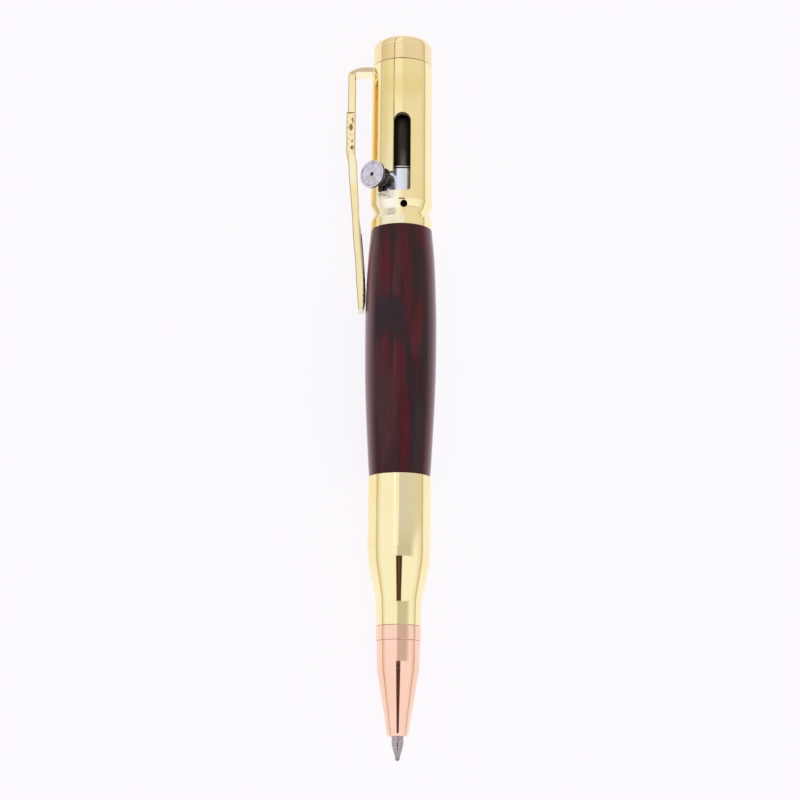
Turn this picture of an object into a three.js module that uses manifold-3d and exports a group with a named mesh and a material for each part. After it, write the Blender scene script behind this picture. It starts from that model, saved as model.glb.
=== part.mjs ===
// A bolt-action ballpoint pen lying on its wooden barrel and the edge of its clip.
// Lengths are in millimetres. The pen lies along Y, with its writing ball at -Y and its cap at +Y.
// The pen is described standing in its own stations: the distance along its axis from the front of the ball.
// The long slot faces +Z and the clip hangs at -X until the last lines roll the pen onto its clip.

import * as THREE from 'three';
import { mergeVertices } from 'three/addons/utils/BufferGeometryUtils.js';
import Module from 'manifold-3d';

const wasm = await Module();
wasm.setup();

// Fits and fineness
const seam = 0.05;
const pressClearance = 0.07;
const runningClearance = 0.15;
const overrun = 1;
const visibleSegments = 40;
const innerSegments = 28;
const quarterTurn = Math.PI / 2;

// Refill: ball, tip, holder, tube and end plug
const ballRadius = 0.4;
const socketClearance = 0.03;
const tipFrontSetback = 0.28;
const tipFrontRadius = 0.46;
const tipConeLength = 2.9;
const tipRadius = 1.175;
const tipLength = 9.7;
const tipShankRadius = 0.93;
const tipShankLength = 3;
const inkBoreRadius = 0.3;
const holderRadius = 1.6;
const holderNeckLength = 6;
const holderPlugLength = 3;
const refillLength = 98;
const refillRadius = 2.9;
const refillWall = 0.4;
const refillLipLength = 0.4;
const refillChamfer = 0.3;
const endPlugLength = 5;
const endPlugSpigotLength = 3;
const endPlugChamfer = 0.4;

// Nose cone and the threaded spigot behind it
const noseFrontAt = 4.7;
const noseLength = 18.55;
const noseFrontRadius = 2;
const noseBackRadius = 4.37;
const noseFrontChamfer = 0.2;
const noseWallAtSeat = 4.1;
const springBoreRadius = 2.2;
const springSeatSlope = 0.35;
const noseBoreClearance = 0.13;
const spigotWall = 0.4;
const spigotLength = 9.2;

// Spring
const springWireRadius = 0.18;
const springTurns = 8;
const springStepsPerTurn = 8;
const springWireSides = 5;
const springPlay = 0.12;

// Copper collar and the threaded bush in the neck
const collarLength = 2.85;
const collarRadius = 4.475;
const edgeBreak = 0.1;
const threadBushWall = 0.43;
const threadBushLength = 9.6;

// Lower case: a neck, a shoulder and a straight body
const caseLength = 29.85;
const neckLength = 4.2;
const neckFrontRadius = 4.47;
const neckBackRadius = 4.565;
const shoulderLength = 11;
const caseRadius = 6.325;
const caseWall = 0.9;
const neckWallRunOn = 1.2;

// Brass tube, wooden barrel and the two bushes that carry the tube
// The wood is as long as the refill and the push rod behind it need.
const woodEndRadius = 6.33;
const woodBellyRadius = 7.325;
const tubeRadius = 4.7;
const tubeWall = 0.3;
const tubeEndSetback = 0.1;
const lowerBushLength = 8;
const lowerBushSpigotLength = 5.6;
const upperBushLength = 5.6;
const upperBushSpigotLength = 6.2;
const refillBoreRadius = 3.1;

// Receiver: the slotted tube that guides the bolt
const receiverLength = 35.95;
const receiverRadius = 6.42;
const receiverTailRadius = 6.3;
const receiverBoreRadius = 4.85;
const rimRadius = 6.3;
const rimLength = 1.9;
const grooveRadius = 5.85;
const grooveStepLength = 1.45;
const grooveFlatLength = 0.5;
const grooveRampLength = 1.6;
const slotSetback = 7.1;
const slotLength = 16.87;
const slotWidth = 3.5;
const slotCornerRadius = 0.6;
const slotArcSegments = 10;
const recessHeight = 4.9;
const recessCornerRadius = 0.6;
const bossHoleRadius = 0.7;
const bossHoleSetback = 4.25;
const bossHoleDepth = 1.1;
const bossHoleAngle = THREE.MathUtils.degToRad(4);

// Bolt: the steel body, the black rod behind it, the push rod ahead of it, and the handle
const handleAngle = THREE.MathUtils.degToRad(36);
const stemSetback = 2.6;
const stemRadius = 1.4;
const stemInnerRadius = 2.6;
const stemClearance = 0.08;
const cuspClearance = 0.12;
const boltBodyRadius = 4.7;
const boltBodyBelowStem = 2.45;
const boltBodyAboveStem = 3.2;
const boltBodyChamfer = 0.25;
const boltRodRadius = 3.5;
const boltRodLength = 10.95;
const boltRodChamfer = 0.3;
const boltRodSpigotRadius = 2;
const boltRodSpigotLength = 0.9;
const pushRodRadius = 2.95;
const pushRodLength = 16.8;
const pushRodChamfer = 0.3;
const pushRodNippleRadius = 1.9;
const pushRodNippleLength = 0.5;
const endPlay = 0.1;

// Handle knob, a turned button on the end of the stem
const knobFaceAt = 10.7;
const knobRadius = 2.9;
const knobRimWidth = 0.8;
const knobRimBreak = 0.15;
const knobFaceSink = 0.15;
const knobDimpleRadius = 0.35;
const knobDimpleDepth = 0.3;
const knobTaperLength = 1.5;
const knobNeckRadius = 1.75;
const knobSocketDepth = 1.6;

// Clip: a strap bent from a tab under the cap
const clipWidth = 3.9;
const clipThickness = 1.6;
const clipTabThickness = 1.35;
const clipReach = 11.4;
const clipLength = 52.8;
const clipOuterBendRadius = 2;
const clipInnerBendRadius = 0.35;
const clipBendSteps = 5;
const clipEdgeBreak = 0.15;
const clipReliefHeight = 0.27;
const clipTabSetback = 0.3;
const clipTabClearance = 0.1;
const clipTabInnerRadius = 4.35;
const clipBushClearance = 0.15;
const clipSideClearance = 0.1;

// Tail: a threaded bush and the cap that screws into it
const tailBushLength = 6.1;
const tailSpigotRadius = 4.2;
const tailSpigotLength = 7.2;
const tailBoreClearance = 0.15;
const rodHeadroom = 0.3;
const capRadius = 6.15;
const capBandLength = 3.15;
const capCrownLength = 2.5;
const capFaceRadius = 3.8;

// Stations that follow from the sizes above
const noseBackAt = noseFrontAt + noseLength;
const collarFrontAt = noseBackAt + seam;
const collarBackAt = collarFrontAt + collarLength;
const caseFrontAt = collarBackAt + seam;
const caseBackAt = caseFrontAt + caseLength;
const woodFrontAt = caseBackAt + seam;
const pushRodFrontAt = refillLength + endPlay;
const pushRodBackAt = pushRodFrontAt + pushRodLength;
const boltBodyFrontAt = pushRodBackAt + endPlay;
const stemAt = boltBodyFrontAt + boltBodyBelowStem;
const slotFrontAt = stemAt - stemSetback;
const slotBackAt = slotFrontAt + slotLength;
const receiverFrontAt = slotFrontAt - slotSetback;
const receiverBackAt = receiverFrontAt + receiverLength;
const woodBackAt = receiverFrontAt - seam;
const capFrontAt = receiverBackAt + seam;
const capBandBackAt = capFrontAt + capBandLength;
const capBackAt = capBandBackAt + capCrownLength;
const boltBodyBackAt = stemAt + boltBodyAboveStem;
const boltRodFrontAt = boltBodyBackAt + seam;
const boltRodBackAt = boltRodFrontAt + boltRodLength;
const boltStroke = slotBackAt - stemRadius - runningClearance - stemAt;
const clipTopAt = receiverBackAt - clipTabSetback;
const clipTabFrontAt = clipTopAt - clipTabThickness;
const tailBushBackAt = clipTabFrontAt - clipBushClearance;

// Radii and bores that follow from the piece inside or around them
const spigotBoreRadius = refillRadius + runningClearance;
const spigotRadius = spigotBoreRadius + spigotWall;
const threadBushBoreRadius = spigotRadius + runningClearance / 2 + seam / 2;
const threadBushRadius = threadBushBoreRadius + threadBushWall;
const neckBoreRadius = threadBushRadius + pressClearance;
const caseBoreRadius = caseRadius - caseWall;
const tubeBoreRadius = tubeRadius - tubeWall;
const tubeSpigotRadius = tubeBoreRadius - pressClearance;
const woodBoreRadius = tubeRadius + seam;

// Colours and finishes
const gold = new THREE.MeshStandardMaterial({ color: 0xe6d39a, roughness: 0.16, metalness: 1 });
const copper = new THREE.MeshStandardMaterial({ color: 0xf2b8a0, roughness: 0.18, metalness: 1 });
const steel = new THREE.MeshStandardMaterial({ color: 0xcfcfd2, roughness: 0.28, metalness: 1 });
const darkSteel = new THREE.MeshStandardMaterial({ color: 0x6f6a68, roughness: 0.35, metalness: 1 });
const rawBrass = new THREE.MeshStandardMaterial({ color: 0xc9a95c, roughness: 0.35, metalness: 1 });
const wood = new THREE.MeshStandardMaterial({ color: 0x4a1c20, roughness: 0.2, metalness: 0 });
const blackPlastic = new THREE.MeshStandardMaterial({ color: 0x26211b, roughness: 0.35, metalness: 0 });
const palePlastic = new THREE.MeshStandardMaterial({ color: 0xd8d6cf, roughness: 0.4, metalness: 0 });

// Turns an outline of [radius, station] pairs about the pen's axis into a closed solid.
function turned(outline, segments) {
  const points = outline.map(([radius, station]) => new THREE.Vector2(radius, station));
  if (THREE.ShapeUtils.area(points) < 0) points.reverse();
  const onAxis = points[0].x === 0 && points[points.length - 1].x === 0;
  if (!onAxis) points.push(points[0].clone());
  return new THREE.LatheGeometry(points, segments);
}

// Extrudes a flat outline along Z between two depths.
function extruded(shape, from, to, curveSegments) {
  const options = { depth: to - from, bevelEnabled: false, curveSegments };
  return new THREE.ExtrudeGeometry(shape, options).translate(0, 0, from);
}

// Places rows of [share along, share up] between two ends of an outline.
function spread(rows, alongFrom, alongTo, upFrom, upTo) {
  const at = ([along, up]) => [
    THREE.MathUtils.lerp(upFrom, upTo, up),
    THREE.MathUtils.lerp(alongFrom, alongTo, along),
  ];
  return rows.map(at);
}

// Points on an arc, used where two straight runs of an outline meet in a bend.
function arcPoints(x, y, radius, from, to, steps) {
  const at = (k) => THREE.MathUtils.lerp(from, to, k / steps);
  const point = (angle) => new THREE.Vector2(x + radius * Math.cos(angle), y + radius * Math.sin(angle));
  return Array.from({ length: steps + 1 }, (unused, k) => point(at(k)));
}

// Welds a geometry and hands it over as a solid that can be cut.
function solidOf(geometry) {
  const bare = geometry.clone();
  bare.deleteAttribute('normal');
  bare.deleteAttribute('uv');
  const welded = mergeVertices(bare);
  const corners = welded.index.array;
  const kept = [];
  for (let i = 0; i < corners.length; i += 3) {
    const [a, b, c] = [corners[i], corners[i + 1], corners[i + 2]];
    if (a !== b && b !== c && c !== a) kept.push(a, b, c);
  }
  const vertProperties = Float32Array.from(welded.attributes.position.array);
  return new wasm.Manifold(new wasm.Mesh({ numProp: 3, vertProperties, triVerts: Uint32Array.from(kept) }));
}

// Takes a cut solid back as a geometry.
function geometryOf(solid) {
  const { vertProperties, triVerts } = solid.getMesh();
  const geometry = new THREE.BufferGeometry();
  geometry.setAttribute('position', new THREE.BufferAttribute(vertProperties, 3));
  geometry.setIndex(new THREE.BufferAttribute(triVerts, 1));
  return geometry;
}

// Cuts a list of tools from a body.
function cut(body, tools) {
  const left = tools.reduce((solid, tool) => solid.subtract(solidOf(tool)), solidOf(body));
  return geometryOf(left);
}

function piece(name, geometry, material) {
  const mesh = new THREE.Mesh(geometry, material);
  mesh.name = name;
  return mesh;
}

const pen = new THREE.Group();

// Refill

const holderFrontAt = tipFrontSetback + tipLength + seam;
const tubeFrontAt = holderFrontAt + holderNeckLength;
const refillBoreWallRadius = refillRadius - refillWall;
const lipRadius = holderRadius + pressClearance;
const endPlugFrontAt = refillLength - endPlugLength;

const ball = new THREE.SphereGeometry(ballRadius, 14, 10).translate(0, ballRadius, 0);
pen.add(piece('writing_ball', ball, steel));

const socketRadius = ballRadius + socketClearance;
const tipOutline = [
  [socketRadius, tipFrontSetback],
  [tipFrontRadius, tipFrontSetback],
  [tipRadius, tipFrontSetback + tipConeLength],
  [tipRadius, tipFrontSetback + tipLength],
  [tipShankRadius, tipFrontSetback + tipLength],
  [tipShankRadius, tipFrontSetback + tipLength + tipShankLength],
  [inkBoreRadius, tipFrontSetback + tipLength + tipShankLength],
  [inkBoreRadius, ballRadius * 2 + socketRadius],
  [socketRadius, ballRadius * 2 + socketClearance],
];
pen.add(piece('refill_tip', turned(tipOutline, innerSegments), steel));

const holderPlugRadius = refillBoreWallRadius - pressClearance;
const holderPlugFrontAt = tubeFrontAt + refillLipLength + seam;
const holderOutline = [
  [tipShankRadius + pressClearance, holderFrontAt],
  [holderRadius, holderFrontAt],
  [holderRadius, holderPlugFrontAt],
  [holderPlugRadius, holderPlugFrontAt],
  [holderPlugRadius, holderPlugFrontAt + holderPlugLength],
  [tipShankRadius + pressClearance, holderPlugFrontAt + holderPlugLength],
];
pen.add(piece('refill_tip_holder', turned(holderOutline, innerSegments), palePlastic));

const refillTubeOutline = [
  [lipRadius, tubeFrontAt],
  [refillRadius - refillChamfer, tubeFrontAt],
  [refillRadius, tubeFrontAt + refillChamfer],
  [refillRadius, endPlugFrontAt],
  [refillBoreWallRadius, endPlugFrontAt],
  [refillBoreWallRadius, tubeFrontAt + refillLipLength],
  [lipRadius, tubeFrontAt + refillLipLength],
];
pen.add(piece('refill_tube', turned(refillTubeOutline, innerSegments), steel));

const endPlugOutline = [
  [0, endPlugFrontAt - endPlugSpigotLength],
  [refillBoreWallRadius - pressClearance, endPlugFrontAt - endPlugSpigotLength],
  [refillBoreWallRadius - pressClearance, endPlugFrontAt + seam],
  [refillRadius, endPlugFrontAt + seam],
  [refillRadius, refillLength - endPlugChamfer],
  [refillRadius - endPlugChamfer, refillLength],
  [0, refillLength],
];
pen.add(piece('refill_end_plug', turned(endPlugOutline, innerSegments), palePlastic));

// Nose cone: rows are [share of the length, share of the widening]
const noseOutlineShares = [
  [0.092, 0.143],
  [0.216, 0.283],
  [0.383, 0.525],
  [0.55, 0.727],
  [0.677, 0.923],
  [0.83, 0.985],
];
const springSeatAt = noseFrontAt + noseWallAtSeat;
const springFrontAt = springSeatAt + seam;
const springBackAt = tubeFrontAt - seam;
const wideBoreFrontAt = tubeFrontAt - stemSetback + stemRadius - springSeatSlope / 2;
const spigotBackAt = noseBackAt + spigotLength;
const noseOutline = [
  [tipRadius + noseBoreClearance, noseFrontAt],
  [noseFrontRadius - noseFrontChamfer, noseFrontAt],
  [noseFrontRadius, noseFrontAt + noseFrontChamfer],
  ...spread(noseOutlineShares, noseFrontAt, noseBackAt, noseFrontRadius, noseBackRadius),
  [noseBackRadius, noseBackAt],
  [spigotRadius, noseBackAt],
  [spigotRadius, spigotBackAt],
  [spigotBoreRadius, spigotBackAt],
  [spigotBoreRadius, wideBoreFrontAt],
  [springBoreRadius, wideBoreFrontAt - springSeatSlope],
  [springBoreRadius, springSeatAt],
  [tipRadius + noseBoreClearance, springSeatAt],
];
pen.add(piece('nose_cone', turned(noseOutline, visibleSegments), copper));

// Return spring: one wire wound on a constant pitch around the tip holder
class Helix extends THREE.Curve {
  constructor(radius, from, to, turns) {
    super();
    Object.assign(this, { radius, from, to, turns });
  }

  getPoint(t, target = new THREE.Vector3()) {
    const angle = t * this.turns * 4 * quarterTurn;
    const along = THREE.MathUtils.lerp(this.from, this.to, t);
    return target.set(this.radius * Math.sin(angle), along, this.radius * Math.cos(angle));
  }
}

const springRadius = holderRadius + springPlay + springWireRadius;
const springWire = new Helix(
  springRadius,
  springFrontAt + springWireRadius * 1.2,
  springBackAt - springWireRadius * 1.2,
  springTurns,
);
const wireShape = new THREE.Shape(
  arcPoints(0, 0, springWireRadius, 0, 4 * quarterTurn * (1 - 1 / springWireSides), springWireSides - 1),
);
const springGeometry = new THREE.ExtrudeGeometry(wireShape, {
  steps: springTurns * springStepsPerTurn,
  bevelEnabled: false,
  extrudePath: springWire,
});
pen.add(piece('return_spring', springGeometry, steel));

// The least gap between one curl and the next, measured on points along the wire.
function leastSpringGap() {
  const points = springWire.getPoints(springTurns * springStepsPerTurn * 4);
  const perTurn = springStepsPerTurn * 4;
  let least = Infinity;
  points.forEach((point, i) => {
    for (let k = i + perTurn / 2; k < points.length; k += 1) {
      least = Math.min(least, point.distanceTo(points[k]));
    }
  });
  return least - 2 * springWireRadius;
}
console.log(`spring: least gap between curls ${leastSpringGap().toFixed(2)} mm`);

// Copper collar between the nose cone and the case
const collarOutline = [
  [threadBushBoreRadius, collarFrontAt],
  [collarRadius - edgeBreak, collarFrontAt],
  [collarRadius, collarFrontAt + edgeBreak],
  [collarRadius, collarBackAt - edgeBreak],
  [collarRadius - edgeBreak, collarBackAt],
  [threadBushBoreRadius, collarBackAt],
];
pen.add(piece('nose_collar', turned(collarOutline, visibleSegments), copper));

const threadBushFrontAt = caseFrontAt + seam;
const threadBushOutline = [
  [threadBushBoreRadius, threadBushFrontAt],
  [threadBushRadius, threadBushFrontAt],
  [threadBushRadius, threadBushFrontAt + threadBushLength],
  [threadBushBoreRadius, threadBushFrontAt + threadBushLength],
];
pen.add(piece('nose_thread_bush', turned(threadBushOutline, innerSegments), rawBrass));

// Lower case: rows are [share of the shoulder's length, share of its widening]
const shoulderShares = [
  [0, 0],
  [0.1, 0.05],
  [0.24, 0.235],
  [0.385, 0.44],
  [0.53, 0.64],
  [0.68, 0.825],
  [0.818, 0.94],
  [1, 1],
];
const shoulderFrontAt = caseFrontAt + neckLength;
const shoulderBackAt = shoulderFrontAt + shoulderLength;
const innerShoulderAt = threadBushFrontAt + threadBushLength + neckWallRunOn;
const caseOutline = [
  [neckBoreRadius, caseFrontAt],
  [neckFrontRadius - seam, caseFrontAt],
  [neckFrontRadius, caseFrontAt + seam],
  ...spread(shoulderShares, shoulderFrontAt, shoulderBackAt, neckBackRadius, caseRadius),
  [caseRadius, caseBackAt - seam],
  [caseRadius - seam, caseBackAt],
  [caseBoreRadius, caseBackAt],
  [caseBoreRadius, shoulderBackAt + caseWall],
  [neckBoreRadius, innerShoulderAt],
];
pen.add(piece('lower_case', turned(caseOutline, visibleSegments), gold));

const lowerBushBackAt = caseBackAt - seam;
const lowerBushOutline = [
  [refillBoreRadius, lowerBushBackAt - lowerBushLength],
  [caseBoreRadius - pressClearance, lowerBushBackAt - lowerBushLength],
  [caseBoreRadius - pressClearance, lowerBushBackAt],
  [tubeSpigotRadius, lowerBushBackAt],
  [tubeSpigotRadius, lowerBushBackAt + lowerBushSpigotLength],
  [refillBoreRadius, lowerBushBackAt + lowerBushSpigotLength],
];
pen.add(piece('lower_bush', turned(lowerBushOutline, innerSegments), rawBrass));

// Brass tube through the wood
const barrelTubeOutline = [
  [tubeBoreRadius, woodFrontAt + tubeEndSetback],
  [tubeRadius, woodFrontAt + tubeEndSetback],
  [tubeRadius, woodBackAt - tubeEndSetback],
  [tubeBoreRadius, woodBackAt - tubeEndSetback],
];
pen.add(piece('barrel_tube', turned(barrelTubeOutline, innerSegments), rawBrass));

// Wooden barrel: rows are [share of the length, share of the swell]
const woodSwellShares = [
  [0, -0.17],
  [0.039, 0],
  [0.134, 0.29],
  [0.231, 0.56],
  [0.328, 0.78],
  [0.424, 0.93],
  [0.521, 0.99],
  [0.62, 1],
  [0.719, 0.88],
  [0.793, 0.77],
  [0.868, 0.583],
  [0.919, 0.387],
  [0.967, 0.15],
  [1, 0],
];
const woodOutline = [
  [woodBoreRadius, woodFrontAt],
  ...spread(woodSwellShares, woodFrontAt, woodBackAt, woodEndRadius, woodBellyRadius),
  [woodBoreRadius, woodBackAt],
];
pen.add(piece('wood_barrel', turned(woodOutline, visibleSegments), wood));

const upperBushFrontAt = receiverFrontAt + seam;
const upperBushOutline = [
  [refillBoreRadius, upperBushFrontAt - upperBushSpigotLength],
  [tubeSpigotRadius, upperBushFrontAt - upperBushSpigotLength],
  [tubeSpigotRadius, upperBushFrontAt],
  [receiverBoreRadius - pressClearance, upperBushFrontAt],
  [receiverBoreRadius - pressClearance, upperBushFrontAt + upperBushLength],
  [refillBoreRadius, upperBushFrontAt + upperBushLength],
];
const bossHoleAt = receiverFrontAt + bossHoleSetback;
const bossDrill = new THREE.CylinderGeometry(bossHoleRadius, bossHoleRadius, receiverRadius, 16);
bossDrill.rotateX(quarterTurn);
bossDrill.translate(0, bossHoleAt, receiverRadius / 2 + receiverBoreRadius - bossHoleDepth);
bossDrill.rotateY(bossHoleAngle);
pen.add(piece('upper_bush', cut(turned(upperBushOutline, innerSegments), [bossDrill]), rawBrass));

// Receiver: a straight tube with a rim and a groove at its foot, cut by a hooked slot
const grooveFrontAt = receiverFrontAt + rimLength + grooveStepLength;
const grooveBackAt = grooveFrontAt + grooveFlatLength;
const receiverOutline = [
  [receiverBoreRadius, receiverFrontAt],
  [rimRadius - edgeBreak, receiverFrontAt],
  [rimRadius, receiverFrontAt + edgeBreak],
  [rimRadius, receiverFrontAt + rimLength],
  [grooveRadius, grooveFrontAt],
  [grooveRadius, grooveBackAt],
  [receiverRadius, grooveBackAt + grooveRampLength],
  [receiverTailRadius, receiverBackAt - seam],
  [receiverTailRadius - seam, receiverBackAt],
  [receiverBoreRadius, receiverBackAt],
];

// An upright window with small corners at its foot and a full round at its head.
function windowShape(halfWidth, foot, head, cornerRadius) {
  const shape = new THREE.Shape();
  shape.moveTo(-halfWidth + cornerRadius, foot);
  shape.lineTo(halfWidth - cornerRadius, foot);
  shape.absarc(halfWidth - cornerRadius, foot + cornerRadius, cornerRadius, -quarterTurn, 0, false);
  shape.lineTo(halfWidth, head - halfWidth);
  shape.absarc(0, head - halfWidth, halfWidth, 0, 2 * quarterTurn, false);
  shape.lineTo(-halfWidth, foot + cornerRadius);
  shape.absarc(-halfWidth + cornerRadius, foot + cornerRadius, cornerRadius, 2 * quarterTurn, 3 * quarterTurn, false);
  return shape;
}

const cutterReach = receiverRadius + overrun;
const slotTool = extruded(
  windowShape(slotWidth / 2, slotFrontAt, slotBackAt, slotCornerRadius),
  0,
  cutterReach,
  slotArcSegments,
);
const recessTool = extruded(
  windowShape(stemRadius + runningClearance, slotFrontAt, slotFrontAt + recessHeight, recessCornerRadius),
  0,
  cutterReach,
  slotArcSegments,
).rotateY(-handleAngle);

// The passage from the recess to the slot is a sector swept about the pen's axis.
const passageHeight = stemSetback + stemRadius + cuspClearance;
const passageShape = new THREE.Shape();
passageShape.moveTo(0, 0);
passageShape.lineTo(-cutterReach * Math.sin(handleAngle), -cutterReach * Math.cos(handleAngle));
passageShape.absarc(0, 0, cutterReach, -quarterTurn - handleAngle, -quarterTurn, false);
const passageTool = extruded(passageShape, slotFrontAt, slotFrontAt + passageHeight, slotArcSegments);
passageTool.rotateX(-quarterTurn);

const tabNotchDepth = receiverBackAt - clipTabFrontAt + clipTabClearance + overrun;
const tabNotchWidth = clipWidth + 2 * clipSideClearance;
const tabNotch = new THREE.BoxGeometry(cutterReach, tabNotchDepth, tabNotchWidth);
tabNotch.translate(-cutterReach / 2, clipTabFrontAt - clipTabClearance + tabNotchDepth / 2, 0);

const receiver = cut(turned(receiverOutline, visibleSegments), [
  slotTool,
  recessTool,
  passageTool,
  bossDrill,
  tabNotch,
]);
pen.add(piece('receiver', receiver, gold));

// Push rod between the refill and the bolt
const pushRodOutline = [
  [0, pushRodFrontAt],
  [pushRodRadius - pushRodChamfer, pushRodFrontAt],
  [pushRodRadius, pushRodFrontAt + pushRodChamfer],
  [pushRodRadius, pushRodBackAt],
  [pushRodNippleRadius, pushRodBackAt],
  [pushRodNippleRadius, pushRodBackAt + pushRodNippleLength],
  [0, pushRodBackAt + pushRodNippleLength],
];
pen.add(piece('push_rod', turned(pushRodOutline, innerSegments), blackPlastic));

// Bolt body with a recess at each end and a cross hole for the stem
const nippleRecessRadius = pushRodNippleRadius + endPlay;
const nippleRecessBackAt = boltBodyFrontAt + pushRodNippleLength;
const rodRecessRadius = boltRodSpigotRadius + pressClearance;
const rodRecessFrontAt = boltBodyBackAt - boltRodSpigotLength;
const boltBodyOutline = [
  [0, nippleRecessBackAt],
  [nippleRecessRadius, nippleRecessBackAt],
  [nippleRecessRadius, boltBodyFrontAt],
  [boltBodyRadius - boltBodyChamfer, boltBodyFrontAt],
  [boltBodyRadius, boltBodyFrontAt + boltBodyChamfer],
  [boltBodyRadius, boltBodyBackAt - boltBodyChamfer],
  [boltBodyRadius - boltBodyChamfer, boltBodyBackAt],
  [rodRecessRadius, boltBodyBackAt],
  [rodRecessRadius, rodRecessFrontAt],
  [0, rodRecessFrontAt],
];
const stemHoleRadius = stemRadius + stemClearance;
const stemHoleDepth = boltBodyRadius - stemInnerRadius + stemClearance + overrun;
const stemDrill = new THREE.CylinderGeometry(stemHoleRadius, stemHoleRadius, stemHoleDepth, 24);
stemDrill.rotateX(quarterTurn);
stemDrill.translate(0, 0, boltBodyRadius + overrun - stemHoleDepth / 2);
stemDrill.rotateY(-handleAngle);
stemDrill.translate(0, stemAt, 0);
pen.add(piece('bolt_body', cut(turned(boltBodyOutline, visibleSegments), [stemDrill]), steel));

const boltRodOutline = [
  [0, rodRecessFrontAt + seam],
  [boltRodSpigotRadius, rodRecessFrontAt + seam],
  [boltRodSpigotRadius, boltRodFrontAt],
  [boltRodRadius, boltRodFrontAt],
  [boltRodRadius, boltRodBackAt - boltRodChamfer],
  [boltRodRadius - boltRodChamfer, boltRodBackAt],
  [0, boltRodBackAt],
];
pen.add(piece('bolt_rod', turned(boltRodOutline, innerSegments), blackPlastic));

// Handle: stem and knob stand on an axis that leaves the bolt at the handle's angle
const knobRimBackAt = knobFaceAt - knobRimWidth;
const knobNeckAt = knobRimBackAt - knobTaperLength;
const knobSocketFloorAt = knobNeckAt + knobSocketDepth;
const stemOutline = [
  [0, stemInnerRadius],
  [stemRadius, stemInnerRadius],
  [stemRadius, knobSocketFloorAt - seam],
  [0, knobSocketFloorAt - seam],
];
const knobOutline = [
  [0, knobSocketFloorAt],
  [stemHoleRadius, knobSocketFloorAt],
  [stemHoleRadius, knobNeckAt],
  [knobNeckRadius, knobNeckAt],
  [knobRadius, knobRimBackAt],
  [knobRadius, knobFaceAt - knobRimBreak],
  [knobRadius - knobRimBreak, knobFaceAt],
  [knobRadius - 2 * knobRimBreak, knobFaceAt],
  [knobDimpleRadius, knobFaceAt - knobFaceSink],
  [0, knobFaceAt - knobFaceSink - knobDimpleDepth],
];
const handle = new THREE.Group();
handle.position.y = stemAt;
handle.rotation.y = -handleAngle;
const onHandleAxis = new THREE.Group();
onHandleAxis.rotation.x = quarterTurn;
onHandleAxis.add(piece('handle_stem', turned(stemOutline, 24), darkSteel));
onHandleAxis.add(piece('handle_knob', turned(knobOutline, visibleSegments), steel));
handle.add(onHandleAxis);
pen.add(handle);

// Clip: rows are [share of the way down the strap, share of the reach outside, share of the reach inside]
const clipStrapShares = [
  [0.37, 0.995, 0.857],
  [0.4015, 0.98, 0.8255],
  [0.46, 0.966, 0.81],
  [0.509, 0.945, 0.796],
  [0.56, 0.924, 0.782],
  [0.61, 0.904, 0.772],
  [0.659, 0.889, 0.747],
  [0.708, 0.875, 0.714],
  [0.757, 0.854, 0.692],
  [0.805, 0.833, 0.673],
  [0.854, 0.818, 0.655],
  [0.903, 0.806, 0.6425],
  [0.926, 0.792, 0.6425],
  [0.951, 0.782, 0.652],
  [0.975, 0.774, 0.685],
  [1, 0.766, 0.722],
];
const clipReliefStartShare = 0.1894;
const clipReliefEndShare = 0.3636;
const clipReliefGrooveShares = [
  [0.61, 0.69],
  [0.76, 0.84],
];
const strapPoint = (share, reachShare) =>
  new THREE.Vector2(-clipReach * reachShare, clipTopAt - clipLength * share);
const outerBend = arcPoints(
  -clipReach + clipOuterBendRadius,
  clipTopAt - clipOuterBendRadius,
  clipOuterBendRadius,
  quarterTurn,
  2 * quarterTurn,
  clipBendSteps,
);
const innerBend = arcPoints(
  -clipReach + clipThickness + clipInnerBendRadius,
  clipTabFrontAt - clipInnerBendRadius,
  clipInnerBendRadius,
  2 * quarterTurn,
  quarterTurn,
  clipBendSteps,
);

// The raised blocks on the strap, with cross grooves between them
const reliefTopAt = clipTopAt - clipLength * clipReliefStartShare;
const reliefFootAt = clipTopAt - clipLength * clipReliefEndShare;
const reliefPoint = (share, height) =>
  new THREE.Vector2(-clipReach - height, THREE.MathUtils.lerp(reliefTopAt, reliefFootAt, share));
const reliefPoints = [reliefPoint(0, 0), reliefPoint(0, clipReliefHeight)];
clipReliefGrooveShares.forEach(([start, end]) => {
  reliefPoints.push(reliefPoint(start, clipReliefHeight));
  reliefPoints.push(reliefPoint(start, clipReliefHeight / 3));
  reliefPoints.push(reliefPoint(end, clipReliefHeight / 3));
  reliefPoints.push(reliefPoint(end, clipReliefHeight));
});
reliefPoints.push(reliefPoint(1, clipReliefHeight));
reliefPoints.push(reliefPoint(1, 0));

const clipOutline = [
  new THREE.Vector2(-clipTabInnerRadius, clipTopAt),
  ...outerBend,
  ...reliefPoints,
  ...clipStrapShares.map(([share, outside]) => strapPoint(share, outside)),
  ...clipStrapShares.map(([share, outside, inside]) => strapPoint(share, inside)).reverse(),
  ...innerBend,
  new THREE.Vector2(-clipTabInnerRadius, clipTabFrontAt),
];
const clipGeometry = new THREE.ExtrudeGeometry(new THREE.Shape(clipOutline), {
  depth: clipWidth - 2 * clipEdgeBreak,
  bevelEnabled: true,
  bevelThickness: clipEdgeBreak,
  bevelSize: clipEdgeBreak,
  bevelOffset: -clipEdgeBreak,
  bevelSegments: 1,
}).translate(0, 0, clipEdgeBreak - clipWidth / 2);
pen.add(piece('clip', clipGeometry, gold));

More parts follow.
